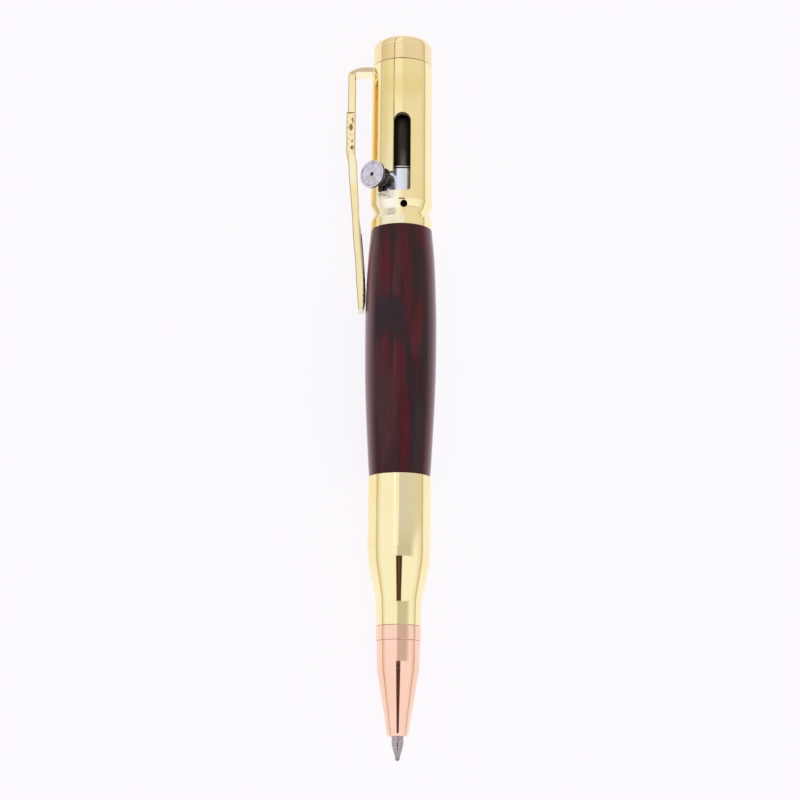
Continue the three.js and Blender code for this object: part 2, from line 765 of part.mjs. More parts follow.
// Tail bush in the receiver, and the cap whose hollow spigot screws into it
const tailSpigotBoreRadius = boltRodRadius + tailBoreClearance;
const tailBushOutline = [
  [tailSpigotRadius + pressClearance, tailBushBackAt - tailBushLength],
  [receiverBoreRadius - pressClearance, tailBushBackAt - tailBushLength],
  [receiverBoreRadius - pressClearance, tailBushBackAt],
  [tailSpigotRadius + pressClearance, tailBushBackAt],
];
pen.add(piece('tail_bush', turned(tailBushOutline, innerSegments), rawBrass));

// Cap crown: rows are [share of the crown's length, share of the way in from the band to the face]
const capCrownShares = [
  [0.12, 0],
  [0.15, 0.03],
  [0.2, 0.03],
  [0.23, 0],
  [0.3, 0.004],
  [0.48, 0.034],
  [0.64, 0.106],
  [0.78, 0.234],
  [0.88, 0.426],
  [0.96, 0.702],
  [1, 1],
];
const capBoreBackAt = boltRodBackAt + boltStroke + rodHeadroom;
const capOutline = [
  [0, capBoreBackAt],
  [tailSpigotBoreRadius, capBoreBackAt],
  [tailSpigotBoreRadius, capFrontAt - tailSpigotLength],
  [tailSpigotRadius, capFrontAt - tailSpigotLength],
  [tailSpigotRadius, capFrontAt],
  [capRadius - seam, capFrontAt],
  [capRadius, capFrontAt + seam],
  [capRadius, capBandBackAt - seam],
  ...spread(capCrownShares, capBandBackAt, capBackAt, capRadius, capFaceRadius),
  [0, capBackAt],
];
pen.add(piece('tail_cap', turned(capOutline, visibleSegments), gold));

// Lay the pen down: it rolls until the clip's outer edge is level with the lowest line of the wood.
const clipCornerReach = Math.hypot(clipReach + clipReliefHeight, clipWidth / 2);
const clipCornerAngle = Math.atan2(clipWidth / 2, clipReach + clipReliefHeight);
pen.rotation.y = clipCornerAngle - Math.asin(woodBellyRadius / clipCornerReach);

// The origin is the middle of the pen's footprint.
const row = new THREE.Group();
row.add(pen);
row.updateMatrixWorld(true);
const bounds = new THREE.Box3().setFromObject(row, true);
const middle = bounds.getCenter(new THREE.Vector3());
pen.position.set(-middle.x, -middle.y, -bounds.min.z);
row.updateMatrixWorld(true);

export default row;
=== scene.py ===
import math

import bmesh
import bpy
from mathutils import Matrix, Vector


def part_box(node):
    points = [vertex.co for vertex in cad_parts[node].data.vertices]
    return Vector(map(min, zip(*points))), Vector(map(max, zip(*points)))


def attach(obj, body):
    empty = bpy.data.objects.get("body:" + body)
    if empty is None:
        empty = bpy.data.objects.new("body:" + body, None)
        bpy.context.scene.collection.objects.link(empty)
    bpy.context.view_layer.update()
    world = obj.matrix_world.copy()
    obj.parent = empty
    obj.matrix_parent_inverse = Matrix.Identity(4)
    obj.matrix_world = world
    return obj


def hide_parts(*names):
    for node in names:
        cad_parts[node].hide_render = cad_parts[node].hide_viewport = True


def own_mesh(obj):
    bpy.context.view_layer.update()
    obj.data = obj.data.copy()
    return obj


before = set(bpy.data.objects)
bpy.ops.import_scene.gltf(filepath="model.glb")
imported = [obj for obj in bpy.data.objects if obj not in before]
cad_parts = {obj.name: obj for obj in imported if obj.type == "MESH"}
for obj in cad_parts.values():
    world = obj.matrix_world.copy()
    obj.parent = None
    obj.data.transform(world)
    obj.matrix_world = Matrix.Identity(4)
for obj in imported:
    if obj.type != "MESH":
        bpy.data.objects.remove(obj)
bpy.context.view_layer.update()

# Sizes in millimetres, as in the solids. Stations run along the pen from the front of the writing ball.
MM = 0.001
NOTHING = 1e-9
PEN_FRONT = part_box("writing_ball")[0][1]


def ends(name):
    """The stations of a solid's front and back, to a hundredth of a millimetre."""
    return [round((corner[1] - PEN_FRONT) / MM, 2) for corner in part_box(name)]


SEAM = 0.05
NOSE_FRONT, SPIGOT_BACK = ends("nose_cone")
COLLAR_FRONT, COLLAR_BACK = ends("nose_collar")
NOSE_BACK = COLLAR_FRONT - SEAM
CASE_FRONT, CASE_BACK = ends("lower_case")
WOOD_FRONT, WOOD_BACK = ends("wood_barrel")
RECEIVER_FRONT, RECEIVER_BACK = ends("receiver")
CAP_SPIGOT_FRONT, CAP_BACK = ends("tail_cap")
CAP_FRONT = RECEIVER_BACK + SEAM
BOLT_FRONT, BOLT_BACK = ends("bolt_body")
ROD_FRONT, ROD_BACK = ends("bolt_rod")
CLIP_FOOT, CLIP_TOP = ends("clip")

RECEIVER_RADIUS, RECEIVER_TAIL_RADIUS, RECEIVER_BORE = 6.42, 6.3, 4.85
GROOVE_BACK = 113.1
SLOT_FRONT, SLOT_BACK, SLOT_WIDTH = 114.85, 131.72, 3.5
HOLE_AT, HOLE_RADIUS, HOLE_TURN = 112.0, 0.7, math.radians(4)
STEM_AT, STEM_RADIUS = 117.45, 1.4
HANDLE_ANGLE = math.radians(36)
KNOB_FACE, KNOB_RADIUS, KNOB_DIMPLE = 10.56, 2.9, 0.34
CLIP_REACH, CLIP_THICK, CLIP_HALF_WIDTH = 11.4, 1.6, 1.95
TAB_THICK = 1.35
TAB_FRONT = CLIP_TOP - TAB_THICK
BLOCKS_LONG, BLOCKS_HIGH = 9.2, 0.27
BLOCKS_BACK = CLIP_TOP - 10
BLOCKS_FRONT = BLOCKS_BACK - BLOCKS_LONG


def pen_placement():
    """Where the pen lies: its axis from the writing ball, its roll from the knob."""
    low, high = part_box("writing_ball")
    axis = (Vector(low) + Vector(high)) / 2
    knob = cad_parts["handle_knob"].data.vertices
    middle = sum((v.co for v in knob), Vector()) / len(knob)
    roll = math.atan2(middle.x - axis.x, middle.z - axis.z) + HANDLE_ANGLE
    return Matrix.Translation((axis.x, low[1], axis.z)) @ Matrix.Rotation(roll, 4, "Y")


PEN = pen_placement()
HANDLE = PEN @ Matrix.Translation((0, STEM_AT * MM, 0)) @ Matrix.Rotation(-HANDLE_ANGLE, 4, "Y")
HANDLE = HANDLE @ Matrix.Rotation(math.pi / 2, 4, "X")
# The pen's own pieces are placed by this shift alone. The roll goes into their meshes.
SHIFT = Matrix.Translation(PEN.translation)
ROLL = PEN.to_3x3().to_4x4()
SLOT_WAY = (PEN.to_3x3() @ Vector((0, 0, 1))).normalized()
RIGHT_WAY = (PEN.to_3x3() @ Vector((1, 0, 0))).normalized()
TAIL_WAY = Vector((0, 1, 0))


# Outlines
def smooth_through(rows, count):
    """A curve through rows of (along, value) that never swings past them, as count points."""
    xs = [row[0] for row in rows]
    ys = [row[1] for row in rows]
    step = [xs[i + 1] - xs[i] for i in range(len(xs) - 1)]
    rise = [(ys[i + 1] - ys[i]) / step[i] for i in range(len(step))]
    slope = [rise[0]] + [0.0] * (len(xs) - 2) + [rise[-1]]
    for i in range(1, len(xs) - 1):
        if rise[i - 1] * rise[i] > 0:
            w1, w2 = 2 * step[i] + step[i - 1], step[i] + 2 * step[i - 1]
            slope[i] = (w1 + w2) / (w1 / rise[i - 1] + w2 / rise[i])
    out = []
    for k in range(count + 1):
        x = xs[0] + (xs[-1] - xs[0]) * k / count
        i = max(0, min(len(step) - 1, sum(1 for v in xs[1:-1] if v <= x)))
        t, h = (x - xs[i]) / step[i], step[i]
        out.append((x, (2 * t**3 - 3 * t**2 + 1) * ys[i] + (t**3 - 2 * t**2 + t) * h * slope[i]
                    + (3 * t**2 - 2 * t**3) * ys[i + 1] + (t**3 - t**2) * h * slope[i + 1]))
    return out


def profile(rows, front, back, radius_from, radius_to, count):
    """A smooth (radius, station) line through rows of shares, along the piece and between two radii."""
    places = [(front + (back - front) * a, radius_from + (radius_to - radius_from) * u) for a, u in rows]
    return [(r, a) for a, r in smooth_through(places, count)]


def eased(outline, radius, least=20, steps=4, most=0.45):
    """Rounds each corner of an outline that turns by more than least degrees, within a share of its sides."""
    points = [Vector(p) for p in outline]
    out = [points[0]]
    for before, here, after in zip(points, points[1:], points[2:]):
        a, b = before - here, after - here
        if min(a.length, b.length) < 1e-6:
            continue
        turn = math.degrees(math.pi - a.angle(b))
        if turn < least:
            out.append(here)
            continue
        reach = min(radius * math.tan(math.radians(turn) / 2), a.length * most, b.length * most)
        start, end = here + a.normalized() * reach, here + b.normalized() * reach
        for k in range(steps + 1):
            t = k / steps
            out.append(start * (1 - t) ** 2 + here * 2 * t * (1 - t) + end * t**2)
    out.append(points[-1])
    return [tuple(p) for p in out]


def held(outline, closed, inset=0.04, longest=0.5):
    """Adds a point close to both ends of each long run, so that shading stays true along it."""
    out = []
    after = outline[1:] + outline[:1] if closed else outline[1:]
    for (r0, a0), (r1, a1) in zip(outline, after):
        out.append((r0, a0))
        length = math.hypot(r1 - r0, a1 - a0)
        if length > longest:
            share = inset / length
            out += [(r0 + (r1 - r0) * t, a0 + (a1 - a0) * t) for t in (share, 1 - share)]
    return out if closed else out + [outline[-1]]


def ellipse(across, along, half_wide, half_long, count):
    """An ellipse of (x, y) points about its middle."""
    turns = [2 * math.pi * k / count for k in range(count)]
    return [(across + half_wide * math.cos(t), along + half_long * math.sin(t)) for t in turns]


def twice_area(outline):
    """Twice the area inside an outline, negative where the outline runs clockwise."""
    return sum(p[0] * q[1] - q[0] * p[1] for p, q in zip(outline, outline[1:] + outline[:1]))


# Meshes
def new_object(name, mesh):
    """An object with this mesh, in the scene."""
    made = bpy.data.objects.new(name, mesh)
    bpy.context.scene.collection.objects.link(made)
    return made


def mesh_of(name, made):
    """A smooth mesh of the faces that were made."""
    for face in made.faces:
        face.smooth = True
    mesh = bpy.data.meshes.new(name)
    made.to_mesh(mesh)
    made.free()
    return mesh


def finished(name, mesh, body, solid, finish, placed=PEN, sharp=35):
    """Puts a mesh on its body in place of its solid, with its finish."""
    if sharp:
        mesh.set_sharp_from_angle(angle=math.radians(sharp))
    if placed == PEN:
        mesh.transform(ROLL)
        placed = SHIFT
    piece = new_object(name, mesh)
    piece.matrix_world = placed
    mesh.materials.clear()
    mesh.materials.append(finish)
    bpy.context.view_layer.update()
    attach(piece, body)
    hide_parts(solid)
    return piece


def turned_mesh(name, outline, around=192, closed=True):
    """Turns (radius, station) points about the Y axis. An open outline starts and ends on the axis."""
    points = [(r * MM, a * MM) for r, a in outline]
    if twice_area(points) < 0:
        points.reverse()
    turns = [2 * math.pi * k / around for k in range(around)]
    made = bmesh.new()
    rings = []
    for r, a in points:
        if r < NOTHING:
            rings.append([made.verts.new((0, a, 0))])
        else:
            rings.append([made.verts.new((r * math.sin(t), a, r * math.cos(t))) for t in turns])
    pairs = list(zip(rings, rings[1:]))
    if closed:
        pairs.append((rings[-1], rings[0]))
    for low, high in pairs:
        for k in range(around):
            n = (k + 1) % around
            if len(low) == 1 and len(high) == 1:
                break
            if len(low) == 1:
                made.faces.new((low[0], high[n], high[k]))
            elif len(high) == 1:
                made.faces.new((low[k], low[n], high[0]))
            else:
                made.faces.new((low[k], low[n], high[n], high[k]))
    return mesh_of(name, made)


def turned(name, solid, body, outline, finish, closed=True, placed=PEN, around=192, ease=0.05):
    """A turned piece with broken corners."""
    shape = eased(outline + outline[:1], ease)[:-1] if closed else eased(outline, ease)
    mesh = turned_mesh(name, held(shape, closed), around, closed)
    return finished(name, mesh, body, solid, finish, placed)


def prism_mesh(name, outline, low, high, turn=0.0, along_pen=False):
    """A prism on an (x, y) outline, from low to high along Z or along the pen, turned about its axis."""
    made = bmesh.new()
    bottom = [made.verts.new((x * MM, y * MM, low * MM)) for x, y in outline]
    top = [made.verts.new((x * MM, y * MM, high * MM)) for x, y in outline]
    made.faces.new(list(reversed(bottom)))
    made.faces.new(top)
    for k in range(len(outline)):
        n = (k + 1) % len(outline)
        made.faces.new((bottom[k], bottom[n], top[n], top[k]))
    if along_pen:
        made.transform(Matrix.Rotation(-math.pi / 2, 4, "X"))
    made.transform(Matrix.Rotation(turn, 4, "Y"))
    bmesh.ops.recalc_face_normals(made, faces=made.faces)
    return mesh_of(name, made)


def cut_mesh(mesh, tools, edge=0.0, steps=2, least=38):
    """Cuts tool meshes from a mesh and breaks the edges that turn by more than least degrees."""
    body = new_object("blank", mesh)
    helpers = [body]
    for tool in tools:
        cutter = new_object("cutter", tool)
        helpers.append(cutter)
        step = body.modifiers.new("cut", "BOOLEAN")
        step.operation, step.solver, step.object = "DIFFERENCE", "EXACT", cutter
    if edge:
        step = body.modifiers.new("edge", "BEVEL")
        step.width, step.segments = edge * MM, steps
        step.limit_method, step.angle_limit = "ANGLE", math.radians(least)
        step.use_clamp_overlap = True
    bpy.context.view_layer.update()
    graph = bpy.context.evaluated_depsgraph_get()
    made = bpy.data.meshes.new_from_object(body.evaluated_get(graph))
    made.name = mesh.name
    for helper in helpers:
        bpy.data.objects.remove(helper)
    for face in made.polygons:
        face.use_smooth = True
    return made


def gap_to(start, along, here):
    """How far a point lies from a straight run."""
    share = max(0, min(1, (here - start).dot(along) / along.length_squared))
    return (start + along * share - here).length


def true_round(mesh, outline, reach=0.04, within=14):
    """Gives faces on a turned outline the outline's own normals, so that cuts leave no shading marks."""
    points = [Vector((r * MM, a * MM)) for r, a in outline]
    side = 1 if twice_area(points) > 0 else -1
    runs = [(p, q - p) for p, q in zip(points, points[1:] + points[:1]) if (q - p).length > NOTHING]
    normals = [None] * len(mesh.loops)
    for face in mesh.polygons:
        middle = face.center
        radius = math.hypot(middle.x, middle.z)
        here = Vector((radius, middle.y))
        start, along = min(runs, key=lambda run: gap_to(*run, here))
        way = Vector((along.y, -along.x)).normalized() * side
        out = Vector((way.x * middle.x / radius, way.y, way.x * middle.z / radius))
        on_it = gap_to(start, along, here) < reach * MM and out.angle(face.normal) < math.radians(within)
        for loop in face.loop_indices:
            v = mesh.vertices[mesh.loops[loop].vertex_index].co
            r = max(NOTHING, math.hypot(v.x, v.z))
            normals[loop] = (way.x * v.x / r, way.y, way.x * v.z / r) if on_it else tuple(face.normal)
    mesh.normals_split_custom_set(normals)


# Shader maths
class Value:
    """A shader value. Sums and products of values add the Math nodes that work them out."""

    def __init__(self, tree, socket):
        self.tree, self.socket = tree, socket

    def result(self, operation, *values):
        """What a Math node makes of these values."""
        return node(self.tree, "ShaderNodeMath", {"operation": operation}, dict(enumerate(values)))

    def math(self, operation, *others):
        """What a Math node makes of this value and the others."""
        return self.result(operation, self, *others)

    def __add__(self, other):
        return self.math("ADD", other)

    def __sub__(self, other):
        return self.math("SUBTRACT", other)

    def __rsub__(self, other):
        return self.result("SUBTRACT", other, self)

    def __mul__(self, other):
        return self.math("MULTIPLY", other)

    def __truediv__(self, other):
        return self.math("DIVIDE", other)

    def __pow__(self, other):
        return self.math("POWER", other)

    def __abs__(self):
        return self.math("ABSOLUTE")

    __radd__ = __add__
    __rmul__ = __mul__

    def between(self, low, high):
        """0 at low and 1 at high, eased. High may be the smaller of the two."""
        return node(self.tree, "ShaderNodeMapRange", {"interpolation_type": "SMOOTHSTEP"},
                    {"Value": self, "From Min": low, "From Max": high})


def join(tree, what, socket):
    """Links a value to a socket, or writes a number or colour on it."""
    if isinstance(what, Value):
        tree.links.new(what.socket, socket)
    elif isinstance(what, (tuple, list)) and len(what) == 3 and len(socket.default_value) == 4:
        socket.default_value = (*what, 1.0)
    else:
        socket.default_value = what


def node(tree, kind, settings=None, inputs=None, output=0):
    """One node of any kind: its settings first, then the values or links of its sockets."""
    made = tree.nodes.new(kind)
    for key, value in (settings or {}).items():
        setattr(made, key, value)
    for key, value in (inputs or {}).items():
        join(tree, value, made.inputs[key])
    return Value(tree, made.outputs[output])


def mixed(tree, share, first, second):
    """One colour laid over another by a share. A Mix node has its colours on inputs 6 and 7 and output 2."""
    return node(tree, "ShaderNodeMix", {"data_type": "RGBA"}, {0: share, 6: first, 7: second}, 2)


def layered(tree, base, layers):
    """A colour with layers laid over it in turn, each of them a share and a colour."""
    for share, colour in layers:
        base = mixed(tree, share, base, colour)
    return base


def span(value, low, high, soft):
    """1 between low and high and 0 outside, eased across both ends."""
    return value.between(low - soft, low + soft) * (1 - value.between(high - soft, high + soft))


def end_tree(tree, kind, surface):
    """Links a shader to the tree's last node."""
    last = tree.nodes.new(kind)
    tree.links.new(surface.socket, last.inputs["Surface"])


class Finish:
    """A material for one finish of the pen, with its Principled shader and its place in millimetres."""

    def __init__(self, name):
        self.material = bpy.data.materials.new(name)
        self.material.use_nodes = True
        self.tree = self.material.node_tree
        self.shader = next(n for n in self.tree.nodes if n.type == "BSDF_PRINCIPLED")
        place = self.node("ShaderNodeTexCoord", output="Object")
        place = self.node("ShaderNodeVectorMath", {"operation": "SCALE"}, {0: place, "Scale": 1 / MM})
        parts = self.node("ShaderNodeSeparateXYZ", None, {0: place}).socket.node.outputs
        x, self.y, z = (Value(self.tree, part) for part in parts)
        # The meshes carry the roll, so it is taken out here: x to the right of the slot, z out through it
        self.x = x * ROLL[0][0] - z * ROLL[0][2]
        self.z = x * ROLL[0][2] + z * ROLL[0][0]
        self.place = self.vector(self.x, self.y, self.z)

    def node(self, kind, settings=None, inputs=None, output=0):
        return node(self.tree, kind, settings, inputs, output)

    def vector(self, x, y, z):
        return self.node("ShaderNodeCombineXYZ", None, {0: x, 1: y, 2: z})

    def stretched(self, across, along, shift=0.0):
        """The place, scaled across and along the pen."""
        return self.vector(self.x * across + shift, self.y * along, self.z * across)

    def radius(self):
        return (self.x * self.x + self.z * self.z).math("SQRT")

    def angle(self):
        return self.x.math("ARCTAN2", self.z)

    def noise(self, at, scale=1.0, detail=3.0, rough=0.55, warp=0.0):
        return self.node("ShaderNodeTexNoise", {"normalize": True},
                         {"Vector": at, "Scale": scale, "Detail": detail, "Roughness": rough,
                          "Distortion": warp})

    def mix(self, share, first, second):
        return mixed(self.tree, share, first, second)

    def layered(self, base, layers):
        return layered(self.tree, base, layers)

    def bump(self, height, distance, strength):
        return self.node("ShaderNodeBump", None,
                         {"Height": height, "Distance": distance * MM, "Strength": strength})

    def set(self, **sockets):
        """Feeds the shader's sockets and gives the material."""
        for key, value in sockets.items():
            join(self.tree, value, self.shader.inputs[key.replace("_", " ")])
        return self.material


# Plating
def polish(f, seed):
    """What all polished plating shares: a slow drift of tone, faint lathe rings and hairline scratches."""
    drift = f.noise(f.stretched(0.25, 0.12, seed), detail=2.0)
    rings = f.noise(f.vector(seed, f.y * 9.0, f.radius() * 2.0), detail=4.0, rough=0.7)
    hair = f.noise(f.vector(f.angle() * 2.2, f.y * 0.35, seed), scale=14.0, detail=5.0, rough=0.75, warp=0.4)
    scratch = hair.between(0.66, 0.74)
    uneven = (rings - 0.5) * 0.03 + scratch * 0.05 + (drift - 0.5) * 0.03
    relief = f.bump(rings * 0.5 + scratch * -0.4, distance=0.0012, strength=0.25)
    return drift, uneven, relief


def plated(name, tone, deep, rough, seed):
    """Polished plating on turned metal."""
    f = Finish(name)
    drift, uneven, relief = polish(f, seed)
    return f.set(Base_Color=f.mix(drift.between(0.3, 0.7), tone, deep),
                 Roughness=rough + uneven,
                 Metallic=1.0,
                 Normal=relief)


def slotted_plate(name, tone, deep, rough, seed):
    """The receiver's plating: a painted pale reflection beside the slot's front end, painted shade in the
    slot and the small hole, and darker blotches below the recess.
    """
    f = Finish(name)
    drift, uneven, relief = polish(f, seed)
    slot_side = f.z.between(0, 1)
    across = f.x * math.cos(HOLE_TURN) - f.z * math.sin(HOLE_TURN)
    from_hole = (across * across + (f.y - HOLE_AT) ** 2).math("SQRT")
    in_hole = from_hole.between(HOLE_RADIUS + 0.07, HOLE_RADIUS) * slot_side
    under_skin = f.radius().between(RECEIVER_TAIL_RADIUS - 0.1, RECEIVER_TAIL_RADIUS - 0.3)
    in_slot = under_skin * f.y.between(GROOVE_BACK + 0.1, GROOVE_BACK + 0.5)
    # A paler, rougher patch beside the slot's front end: a painted reflection of the knob and stem
    pale_left, pale_right, pale_front, pale_back = -5.6, -0.8, 109.6, 117.6
    painted_pale_reflection = span(f.x, pale_left, pale_right, 0.7) * slot_side * span(f.y, pale_front, pale_back, 0.6)
    plate = f.mix(painted_pale_reflection * 0.75, f.mix(drift.between(0.3, 0.7), tone, deep), (1.0, 0.97, 0.90))
    blotch = f.noise(f.place, scale=2.2, rough=0.6).between(0.38, 0.6)
    # Darker blotches just below the recess
    below_recess = span(f.angle(), -0.86, -0.46, 0.09) * span(f.y, SLOT_FRONT - 1.15, SLOT_FRONT + 0.05, 0.3)
    blotch_below_recess = below_recess * blotch * 0.75
    # Painted shade in the small hole and inside the slot, with the blotches below the recess
    shade_and_blotches = in_hole.math("MAXIMUM", in_slot).math("MAXIMUM", blotch_below_recess) * (0.85 + drift * 0.2)
    shade_tone = f.mix(in_hole, (0.20, 0.165, 0.10), (0.045, 0.033, 0.022))
    cap_seam = f.y.between(RECEIVER_BACK - 0.2, RECEIVER_BACK - 0.1) * 0.8
    return f.set(Base_Color=f.mix(cap_seam, f.mix(shade_and_blotches, plate, shade_tone), (0.30, 0.22, 0.11)),
                 Roughness=rough + uneven + shade_and_blotches * 0.3 + painted_pale_reflection * 0.22,
                 Metallic=1 - in_slot * 0.8,
                 Normal=relief)


def clip_plate(name, tone, deep):
    """The clip's plating: a painted orange reflection inside, painted shade along its edges, in the dents and
    where the foot meets the wood, a painted dark reflection of the wood along the strap's inner edge, and
    greyer on the tab's side.
    """
    f = Finish(name)
    drift = f.noise(f.stretched(0.6, 0.16, 5.1), detail=2.0)
    grain = f.noise(f.stretched(5.0, 0.8), detail=4.0, rough=0.7)
    spots = f.noise(f.place, scale=2.6, rough=0.6)
    patches = f.noise(f.place, scale=1.5, detail=4.0, rough=0.7).between(0.48, 0.66)
    flecks = f.noise(f.place, scale=3.4, detail=4.0, rough=0.7).between(0.58, 0.68)
    inside = CLIP_THICK - CLIP_REACH
    side = abs(f.z).between(CLIP_HALF_WIDTH - 0.05, CLIP_HALF_WIDTH - 0.005)
    edge = 1 - side
    strap = f.y.between(TAB_FRONT - 0.25, TAB_FRONT - 0.65)
    # Painted dark reflection of the wood along the strap's inner edge
    wood_edge = (f.x + (f.y - 101.4) * 0.087).between(-8.4, -8.12) * f.y.between(115, 104)
    # Painted orange reflection of the gold barrel on the clip's inner side
    inner = span(f.y, 124, 141.5, 0.3) * f.x.between(inside - 0.18, inside - 0.04)
    tab_side = (1 - strap) * side * f.x.between(-5.6, -6.6)
    # Painted shade in the dents of the blocks, which are also rougher
    shaded_dent = edge * span(f.y, BLOCKS_FRONT - 0.2, BLOCKS_BACK + 0.6, 0.3) * span(f.x, -11.25, -10.1, 0.06)
    stain = side * span(f.y, BLOCKS_FRONT, BLOCKS_BACK - 0.1, 0.3) * patches
    tarnish = side * span(f.y, BLOCKS_FRONT - 0.2, BLOCKS_BACK, 0.2) * flecks
    # Painted shade where the foot meets the wood
    foot = f.y.between(100.5, 98.5) * (f.x + (spots - 0.5) * 0.7).between(-7.86, -7.72)
    gold = f.layered(f.mix(drift.between(0.3, 0.7), tone, deep), [
        (f.y.between(121, 127) * side * 0.6, (0.985, 0.87, 0.56)),
        (f.y.between(118.6, 116.4) * side, (1.0, 0.80, 0.39)),
        (wood_edge * side * 0.8, (0.36, 0.22, 0.14)),
        (inner * 0.9, (0.88, 0.50, 0.10)),
        (tab_side * 0.9, (0.66, 0.52, 0.45)),
        # Painted shade on the strap's faces that turn away from the front
        (strap * edge * 0.45, (0.50, 0.40, 0.30)),
        (shaded_dent * spots.between(0.25, 0.5), (0.30, 0.20, 0.07)),
        (stain * 0.75, (0.74, 0.48, 0.16)),
        (tarnish * 0.7, (0.22, 0.14, 0.05)),
        (foot * 0.92, (0.05, 0.03, 0.015)),
    ])
    return f.set(Base_Color=gold,
                 Roughness=0.075 + (grain - 0.5) * 0.05 + shaded_dent * 0.2 + foot * 0.15,
                 Metallic=1.0,
                 Normal=f.bump(grain * 0.5 + spots * 0.3, distance=0.002, strength=0.3))


# Steel and brass
def turned_steel(name, tone, deep, rough, ring_rate, ring_depth, seed):
    """Turned metal: rings from the tool on faces and sides, with a soft drift of tone."""
    f = Finish(name)
    rings = f.noise(f.vector(f.radius() * ring_rate, f.y * ring_rate * 0.6, seed), detail=5.0, rough=0.75)
    drift = f.noise(f.stretched(0.9, 0.9, seed))
    speck = f.noise(f.place, scale=9.0).between(0.66, 0.78)
    return f.set(Base_Color=f.mix((drift * 0.6 + rings * 0.5).between(0.25, 0.85), deep, tone),
                 Roughness=rough + (rings - 0.5) * 0.16 + speck * 0.1,
                 Metallic=1.0,
                 Normal=f.bump(rings - speck * 0.4, distance=ring_depth, strength=0.6))


def faced_steel(name, tone, deep):
    """The knob's steel: a faced front with rings and soft sectors, with painted shade in the dimple and on
    the flank.
    """
    f = Finish(name)
    radius = f.radius()
    ring_radius, flank_back, flank_radius = 2.38, 9.85, 2.6
    rings = f.noise(f.vector(radius * 5.0, f.y * 3.0, 2.0), detail=5.0, rough=0.8)
    way = f.vector(f.x / (radius + 0.05), f.z / (radius + 0.05), radius * 0.12)
    sectors = f.noise(way, scale=1.9, rough=0.6)
    speck = f.noise(f.place, scale=7.0, detail=4.0).between(0.60, 0.74)
    ring_line = 1 - abs(radius - ring_radius).between(0.02, 0.12)
    # Painted shade in the centre dimple and on the knob's flank
    shaded_dimple = radius.between(KNOB_DIMPLE + 0.08, KNOB_DIMPLE - 0.02) * f.y.between(9.5, 9.6)
    outer = radius.between(flank_radius - 0.05, flank_radius + 0.05)
    shaded_flank = span(f.y, flank_back, KNOB_FACE - 0.09, 0.05) * outer
    turned_face = f.mix((rings * 0.55 + sectors * 0.75 - speck * 0.25).between(0.42, 0.86), deep, tone)
    steel = f.layered(turned_face, [
        (ring_line * 0.45, (0.16, 0.155, 0.165)),
        (shaded_dimple, (0.03, 0.025, 0.03)),
        (shaded_flank * 0.9, (0.04, 0.035, 0.035)),
        (f.y.between(flank_back, flank_back - 0.05), (0.90, 0.90, 0.94)),
    ])
    return f.set(Base_Color=steel,
                 Roughness=0.22 + (rings - 0.5) * 0.2 + speck * 0.12,
                 Metallic=1.0,
                 Normal=f.bump(rings + sectors * 0.4 - speck * 0.4, distance=0.010, strength=0.7))


# Plastic
def moulded(name, tone, deep, rough, seed):
    """Moulded plastic with a fine grain and a slight unevenness of gloss."""
    f = Finish(name)
    grain = f.noise(f.place, scale=6.0, detail=4.0, rough=0.6)
    cloud = f.noise(f.stretched(0.3, 0.3, seed), detail=2.0)
    return f.set(Base_Color=f.mix(cloud.between(0.3, 0.7), tone, deep),
                 Roughness=rough + (grain - 0.5) * 0.14,
                 Specular_IOR_Level=0.3,
                 Normal=f.bump(grain, distance=0.004, strength=0.4))


def highlit_rod(name, tone, highlight_tone):
    """The black rod: moulded, with a grey streak that is a painted highlight, brightest next to the bolt and
    fading towards the tail.
    """
    f = Finish(name)
    grain = f.noise(f.place, scale=6.0, detail=4.0, rough=0.6)
    streak = f.noise(f.vector(f.x * 2.6, f.y * 0.25, f.z), rough=0.6)
    middle = 1 - abs(f.x - 0.25).between(0.1, 0.95)
    # Painted highlight: a grey streak down the middle, fading away from the bolt
    painted_pale_reflection = middle * f.y.between(BOLT_BACK + 4.85, BOLT_BACK + 0.85) * (0.45 + streak * 0.9)
    return f.set(Base_Color=f.mix(painted_pale_reflection, tone, highlight_tone),
                 Roughness=0.3 + (grain - 0.5) * 0.14 + painted_pale_reflection * 0.1,
                 Specular_IOR_Level=0.3,
                 Normal=f.bump(grain + streak * 0.3, distance=0.004, strength=0.4))


# Wood. Each streak on the slot side is (station, place across, reach along, reach across).
RED_STREAKS = [
    (99, -3.2, 7.3, 1.3), (105, 0.3, 8, 1.1), (93, 1.4, 9, 0.8), (106.5, 4.8, 4.5, 1.1),
    (80.3, -3.2, 4.3, 1.2), (83, 2.7, 4.2, 0.9), (76, -0.7, 6, 1.0), (64, 0.8, 10, 1.2),
    (87, 3.8, 4.5, 0.9), (78, 0.35, 4.2, 0.6),
]
WARM_STREAKS = [
    (70, -1.5, 8, 0.9), (67, -3.1, 10, 1.5), (96.5, -0.9, 7.5, 0.9), (98, -4.8, 6.5, 0.8), (76, -4.8, 7, 0.8),
]
SLATE_STREAKS = [
    (89, -2.6, 3.6, 2.6), (87, -0.7, 4.2, 1.5), (97.5, 3.6, 6.5, 1.1), (104, -1.9, 5, 0.5), (66, 3.3, 9, 1.2),
    (82, 4.8, 6, 0.8), (79, 1.6, 8, 0.7), (87.5, -4.7, 4.5, 1.3), (73, 2.9, 4, 0.8),
]


